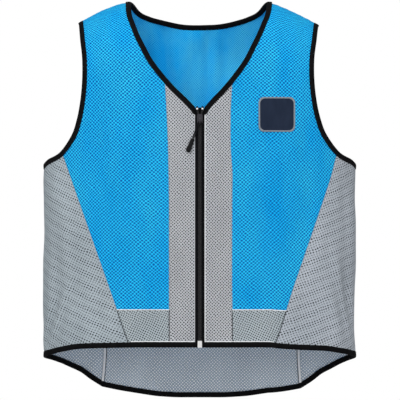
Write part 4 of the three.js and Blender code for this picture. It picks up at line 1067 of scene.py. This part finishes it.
# %% Armhole bindings
neck_groove = max(panel_wall, mesh_wall + clearance + 0.8)
for side, name in SIDES:
    front = np.vstack([armhole_edge, underarm_edge[1:]])
    loop = on_side(side, np.vstack([front, to_back(front)[::-1][1:]]))
    e, into, n, length = edge_frames(loop, -side)
    e, into, n, length = (part[:-1] for part in (e, into, n, length))
    rings, uv = binding_rings(e, into, n, length, panel_wall)
    tape = ring_piece(f"armhole_tape_{name}", rings, uv, closed=True)
    dress(tape, "binding", (binding_tape,), f"armhole_binding_{name}")
    print(tape.name, "in", len(rings), "rings,", round(float(length[-1])), "mm round")


# %% Neck binding
def fan_end(frames, corner_way, turns=5):
    """At the zip the binding is cut along the facing's edge, so its last rings swing round to that line."""
    e, into, n, length = frames
    last, target = into[-1], np.array(corner_way, float)
    target /= np.linalg.norm(target)
    reach = 1 / max(0.5, abs(float(np.dot(last / np.linalg.norm(last), target))))
    for k in range(1, turns + 1):
        share = k / turns
        way = last * (1 - share) + target * share
        way = way / np.linalg.norm(way) * (1 + (reach - 1) * share)
        e, into, n = np.vstack([e, e[-1:]]), np.vstack([into, way]), np.vstack([n, n[-1:]])
        length = np.append(length, length[-1])
    return e, into, n, length


def joined(*frames):
    e, into, n = (np.vstack([f[k] for f in frames]) for k in (0, 1, 2))
    return e, into, n, lengths_along(e)


def reversed_frames(frames):
    e, into, n, length = frames
    return e[::-1], into[::-1], n[::-1], length[::-1]


def half_neck(side):
    line = on_side(side, np.vstack([neck_edge, facing_top[1:]]))
    return fan_end(edge_frames(line, side), (0, 0, -1))


back_neck_frames = edge_frames(back_neck, -1)
neck_frames = joined(
    reversed_frames(half_neck(-1)),
    tuple(part[1:-1] for part in reversed_frames(back_neck_frames)),
    half_neck(1),
)
rings, uv = binding_rings(*neck_frames, neck_groove)
dress(ring_piece("neck_tape", rings, uv), "binding", (binding_tape,), "neck_binding")
print("neck tape in", len(rings), "rings")


# %% Hem binding
def half_hem(side):
    front = hem_line(turn_at(zip_opening), turn_at(front_seam_foot), HEM_FRONT)
    line = on_side(side, np.vstack([front, side_hem[1:]]))
    e, into, n, length = edge_frames(line, side)
    end = e[0] * [0, 1, 1] + [side * 3.8, 0, 0]
    return np.vstack([end[None], e]), np.vstack([into[:1], into]), np.vstack([n[:1], n]), length


tail_frames = edge_frames(left_swayed(tail_hem), 1)
hem_frames = joined(
    half_hem(-1), tuple(part[1:-1] for part in reversed_frames(tail_frames)), reversed_frames(half_hem(1)),
)
rings, uv = binding_rings(*hem_frames, neck_groove)
dress(ring_piece("hem_tape", rings, uv), "binding", (binding_tape,), "hem_binding")
print("hem tape in", len(rings), "rings")

# %% [markdown]
# Seams leave threads that catch the light. On the outside a thin pale line runs along each facing and each
# side panel, and a white one under the blue cloth and over the hem's binding. Where two grey pieces meet, a
# dark cord is painted shade in the seam. On the inside an overlock thread wraps the cut edges into a soft
# pale cord, which the picture shows along the back side seams, and a dark cord beside it is its painted
# shadow. Beside the zip the facing is turned under, and its fold is a pale cord of painted highlight,
# brighter on the wearer's left than on the right. All of them are round cords swept along the seams.

# %% Cords along the seams
def swept_cord(name, line, radius, lift, sides=6, step=2.0, beside=0.0, flat=1.0):
    e, into, n, length = edge_frames(line, 1, step)
    centre = e + n * lift + into * beside
    angles = np.arange(sides) * 2 * math.pi / sides
    rings = round_rings(centre, into * radius, n * radius * flat, angles)
    return ring_piece(name, rings, strip_uv(length, angles * radius))


def thread_material(name, tint, shadow, pitch):
    material, tree, shader = base_material(name, 0.6, specular=0.12)
    along, across = parts_of(tree, cloth_place(tree))[:2]
    slanted = calc(tree, "MULTIPLY_ADD", across, 0.6, along)
    twist = calc(tree, "SINE", calc(tree, "MULTIPLY", slanted, 2 * math.pi / pitch))
    share = calc(tree, "MULTIPLY_ADD", twist, 0.5, 0.5)
    finish_surface(tree, shader, blend_colour(tree, share, shadow, tint), share, 0.6, 0.0003)
    return material


pale_thread = thread_material("pale seam thread", colour(205, 208, 213), colour(150, 156, 164), 0.0022)
white_thread = thread_material("white overlock thread", colour(253, 253, 254), colour(228, 231, 236), 0.0022)
# Painted highlight: the facing's turned edge is a pale cord, given a brighter colour on the wearer's left
# than on the right.
turned_edge_highlights = {
    -1: thread_material("turned facing edge, right", colour(196, 199, 204), colour(160, 164, 170), 0.0030),
    1: thread_material("turned facing edge, left", colour(240, 242, 244), colour(206, 209, 214), 0.0030),
}
# Painted shade: a dark cord laid in a seam stands in for the shade of its valley, and one beside the inside
# overlock for its shadow.
painted_seam_shade = thread_material("shade in a seam", colour(70, 74, 80), colour(44, 47, 52), 0.0022)
print("threads:", pale_thread.name + ",", white_thread.name, "and", painted_seam_shade.name)

# %% Threads of this vest
inner_back_seam = back_side_seam[14:-10]
hem_stitching, over_binding = hem_stretch(front_seam_foot - 1, zip_opening + 1), binding_width + 1.3
# Name, line, radius, lift off the cloth's face, slot, material. The turned edges have one for each side.
SEAM_THREADS = [
    ("facing_thread", upper_facing_seam[12:], 0.35, -0.15, "grey_mesh", pale_thread),
    ("foot_seam_shade", lower_facing_seam[:-10], 0.55, -0.2, "grey_mesh", painted_seam_shade),
    ("foot_side_seam_shade", lower_side_seam[:-8], 0.5, -0.2, "side_mesh", painted_seam_shade),
    ("cross_thread", front_cross, 0.75, 0.15, "grey_mesh", white_thread),
    ("side_thread", upper_side_seam[14:], 0.35, -0.2, "side_mesh", pale_thread),
    ("hem_thread", hem_stitching, 0.65, 0.15, "grey_mesh", white_thread),
    ("overlock", inner_back_seam, 2.1, -panel_wall - 0.9, "side_mesh", white_thread),
    ("inner_seam_shade", inner_back_seam, 0.7, -panel_wall - 0.3, "side_mesh", painted_seam_shade),
    ("turned_edge_highlight", zip_edge[8:-9], 0.9, -0.5, "grey_mesh", None),
]
overlock_shape = {"sides": 8, "flat": 0.6}
for side, name in SIDES:
    shapes = {"overlock": overlock_shape, "inner_seam_shade": {"beside": side * 2.4},
              "turned_edge_highlight": {"sides": 8, "beside": side * 0.9}}
    for title, line, radius, lift, slot, material in SEAM_THREADS:
        line = on_side(side, line)
        if title == "hem_thread":
            line = line - [0, over_binding]
        cord = swept_cord(f"{title}_{name}", line, radius, lift, **shapes.get(title, {}))
        dress(cord, slot, (material or turned_edge_highlights[side],))
back_thread = swept_cord(
    "back_cross_overlock", left_swayed(back_cross), 1.5, -panel_wall - 0.7, **overlock_shape,
)
dress(back_thread, "blue_mesh", (pale_thread,))
print("cords along the seams:", 2 * len(SEAM_THREADS) + 1)

# %% [markdown]
# The zip is a coil zip. Each half is one nylon thread wound into flat loops about 1.5 mm apart, and the
# loops of the two halves mesh. The measured model has plain strips there, so the winding is made here,
# loop by loop, on the same line. Above the slider the halves part towards the two bright stops.

# %% Where the zip lies
zip_top = float(down_at(facing_top[-1]))
zip_foot = float(down_at(zip_edge[-1]))
slider_top, slider_length = zip_top + 11.5, 15.0
slider_foot = slider_top + slider_length
stop_top, stop_length, stop_spread, slider_spread = zip_top + 1.6, 2.4, 2.7, 1.4
box_length = 11.0
coil_gap, coil_width, coil_height = 0.15, 2.95, 2.0
tape_rise = -mesh_wall - clearance
SPREAD = [
    (zip_top - 1.5, stop_spread * 1.08), (stop_top + stop_length, stop_spread), (slider_top, slider_spread),
    (slider_top + slider_length * 0.55, slider_spread * 0.4), (slider_foot, 0),
]
print("zip from", round(zip_top, 1), "to", round(zip_foot, 1), "mm down")


def zip_frame(down):
    places = place(np.zeros_like(down), down)
    return draped(places[:, 0], places[:, 1]), normal_of(draped, places[:, 0], places[:, 1])


# %% Wound coils
def wound_coil(name, side, pitch=1.5, thread=0.38, per_turn=12, sides=5, uv_step=0.3):
    start, end = stop_top + stop_length + clearance, zip_foot - box_length - clearance
    turns = int((end - start) / pitch)
    k = np.arange(turns * per_turn + 1)
    angle = k * 2 * math.pi / per_turn
    down = start + k * pitch / per_turn + (pitch / 2 if side > 0 else 0)
    base, n = zip_frame(down)
    reach = np.sign(np.cos(angle)) * np.abs(np.cos(angle)) ** 0.7
    rise = np.sign(np.sin(angle)) * np.abs(np.sin(angle)) ** 0.8
    middle = coil_gap + read_table(SPREAD, down) + coil_width / 2
    across = middle + reach * (coil_width / 2 - thread + 0.35) - 0.35
    up = tape_rise + clearance + coil_height / 2 + rise * (coil_height / 2 - thread)
    path = base + np.stack([side * across, 0 * across, 0 * across], -1) + n * up[:, None]
    tangent = np.gradient(path, axis=0)
    tangent /= np.linalg.norm(tangent, axis=1, keepdims=True)
    aside = np.cross(tangent, [0.0, 0.0, 1.0])
    aside /= np.linalg.norm(aside, axis=1, keepdims=True) + 1e-9
    other = np.cross(tangent, aside)
    angles = np.arange(sides) * 2 * math.pi / sides
    rings = round_rings(path, thread * aside, thread * other, angles)
    return ring_piece(name, rings, strip_uv(k * uv_step, angles))


def plastic(name, tint, roughness, specular=0.3, grain=0.0003, strength=0.15):
    material, tree, shader = base_material(name, roughness, specular)
    spot = solid_place(tree)
    dark = tuple(c * 0.75 for c in tint[:3]) + (1,)
    mixed = blend_colour(tree, group_of(tree, mottle_tree, Place=spot, Size=0.004), dark, tint)
    fine = group_of(tree, mottle_tree, Place=spot, Size=grain)
    finish_surface(tree, shader, mixed, fine, strength, 0.0001)
    return material


# %% Two halves of the coil
coil_nylon = plastic("coil nylon", colour(44, 44, 46), 0.36)
for side, name in SIDES:
    coil = wound_coil(f"coil_{name}", side)
    dress(coil, "zip_coil", (coil_nylon,), f"zip_coil_{name}")
    print(coil.name, len(coil.data.polygons), "faces")

# %% [markdown]
# The hard parts of the zip and the grip keep their measured solids. A bevel rounds their edges, as casting
# and tumbling do, and lets them catch the light. The grip's is the widest, as it is moulded rubber. The
# cord is round in life, so its solid is subdivided.

# %% Metal and moulded parts
def bright_metal(name, tint, roughness):
    material, tree, shader = base_material(name, roughness, specular=0.5, metallic=0.6)
    uneven = group_of(tree, mottle_tree, Place=solid_place(tree), Size=0.002)
    worn = tuple(c * 0.8 for c in tint[:3]) + (1,)
    tree.links.new(blend_colour(tree, uneven, worn, tint), shader.inputs["Base Color"])
    return material


def finish_solid(name, material, bevel=None, subdivide=0):
    solid = nodes[name]
    solid.data.materials.clear()
    solid.data.materials.append(material)
    if bevel:
        edge_bevel = solid.modifiers.new("worn edges", "BEVEL")
        edge_bevel.width = bevel * MM
        edge_bevel.segments = 3
        edge_bevel.limit_method = "ANGLE"
        edge_bevel.angle_limit = math.radians(35)
    if subdivide:
        weld = solid.modifiers.new("join", "WELD")
        weld.merge_threshold = 0.00001
        smooth = solid.modifiers.new("smooth", "SUBSURF")
        smooth.levels = smooth.render_levels = subdivide


# %% Finish the hard parts
nickel = bright_metal("nickel", colour(252, 252, 252), 0.34)
black_lacquer = plastic("black lacquer", colour(54, 52, 58), 0.28)
moulded_black = plastic("moulded black", colour(14, 14, 16), 0.5, specular=0.12, grain=0.0006, strength=0.3)
for name in ("zip_top_stop_right", "zip_top_stop_left", "zip_bottom_box"):
    finish_solid(name, nickel, bevel=0.3)
finish_solid("zip_slider", black_lacquer, bevel=0.22)
finish_solid("pull_grip", moulded_black, bevel=0.9)
print("metal and moulded parts in", nickel.name + ",", black_lacquer.name, "and", moulded_black.name)


# %% Braided cord and zip tapes
def braided(name, tint, light, pitch):
    material, tree, shader = base_material(name, 0.8, specular=0.03)
    squashed = vector(tree, "MULTIPLY", solid_place(tree), (1, 0, 1))
    loops = group_of(tree, loop_tree, Place=rotated(tree, squashed, quarter, "X_AXIS"), Pitch=pitch)
    # Painted highlight and shade: the raised loops of the braid or weave are drawn in the lighter colour, and
    # the grooves between them in the darker one.
    finish_surface(tree, shader, blend_colour(tree, loops, tint, light), loops, 0.6, 0.0003)
    return material


finish_solid("pull_cord", braided("braided cord", colour(9, 9, 10), colour(34, 34, 37), 0.0016), subdivide=1)
woven_tape = braided("woven zip tape", colour(8, 8, 10), colour(24, 24, 27), 0.0011)
for name in ("zip_tape_right", "zip_tape_left"):
    finish_solid(name, woven_tape)
print("cord loop subdivided", nodes["pull_cord"].modifiers["smooth"].levels, "time")

# %% [markdown]
# The ends of the neck's tape are turned down behind the top of the zip, where they keep the slider off the
# wearer's throat. From in front they close the dark gap between the parted halves.

# %% Tape behind the top of the zip
def tape_tab(name, half=6.6, rise=-3.0, wall=0.8):
    base, n = zip_frame(np.linspace(zip_top + 0.8, slider_top + 5, 10))
    section = [(-half, 0), (-half, -wall), (half, -wall), (half, 0)]
    rings = np.stack([base + [x, 0, 0] + n * (rise + w) for x, w in section], 1)
    uv = np.zeros(rings.shape[:2] + (2,))
    uv[..., 0], uv[..., 1] = rings[..., 2], rings[..., 0]
    return ring_piece(name, rings, uv)


plain_tape = tape_material("plain binding tape", colour(6, 6, 7), colour(26, 26, 28))
tab = tape_tab("neck_tape_end")
dress(tab, "binding", (plain_tape,))
print(tab.name, "closes", round(tab.dimensions.z, 4), "m behind the zip's top")

# %% [markdown]
# The patch on the wearer's left chest is a plain woven patch with a sewn border. It is a rounded rectangle
# laid on the cloth's own surface, with a slightly raised border that a satin stitch makes.

# %% Chest patch
patch_width, patch_height, patch_corner, patch_out, patch_drop = 60.0, 57.0, 9.0, 126.0, 190.0


def rounded_outline(width, height, corner, per_corner=10, samples=120):
    points = []
    for quadrant, (cx, cy) in enumerate(((1, 1), (-1, 1), (-1, -1), (1, -1))):
        for k in range(per_corner + 1):
            angle = quarter * (quadrant + k / per_corner)
            points.append((cx * (width / 2 - corner) + corner * math.cos(angle),
                           cy * (height / 2 - corner) + corner * math.sin(angle)))
    ring = np.array(points + points[:1])
    length = lengths_along(ring)
    return read_at(np.linspace(0, length[-1], samples + 1)[:-1], length, ring)


def on_chest(xy, lift):
    turn, along = place(patch_out + xy[:, 0], patch_drop - xy[:, 1]).T
    return draped(turn, along) + normal_of(draped, turn, along) * lift


def make_patch():
    rim = rounded_outline(patch_width, patch_height, patch_corner)
    # Share of the way from the centre to the rim, and lift off the cloth: first the border, then the inside.
    border = [(1.0, -0.6), (1.0, 0.9), (0.985, 1.35), (0.955, 1.45), (0.93, 1.3), (0.915, 1.05)]
    rows = border + [(0.9, 1.0)] + [(0.9 * k / 8, 1.0) for k in range(7, 0, -1)]
    flats = [rim * share for share, _ in rows] + [np.zeros((1, 2))]
    lifts = [lift for _, lift in rows] + [1.0]
    points = np.vstack([on_chest(flat, lift) for flat, lift in zip(flats, lifts)])
    size = len(rim)
    inner, centre = (len(rows) - 1) * size, len(rows) * size
    faces = ring_faces(len(rows), size, closed=True)[:inner]
    faces += [[inner + i, inner + (i + 1) % size, centre] for i in range(size)]
    piece = make_mesh("patch", points, faces, np.vstack(flats))
    on_border = np.arange(len(faces)) < (len(border) - 1) * size
    piece.data.polygons.foreach_set("material_index", on_border.astype(np.int32))
    return piece


# %% Sew the patch on
patch_cloth = tape_material("patch cloth", colour(26, 34, 50), colour(52, 62, 82), pitch=0.0012)
patch_border = thread_material("patch border", colour(150, 156, 164), colour(108, 114, 122), 0.0009)
dress(make_patch(), "patch", (patch_cloth, patch_border), "chest_patch")
print("patch", patch_width, "by", patch_height, "mm")
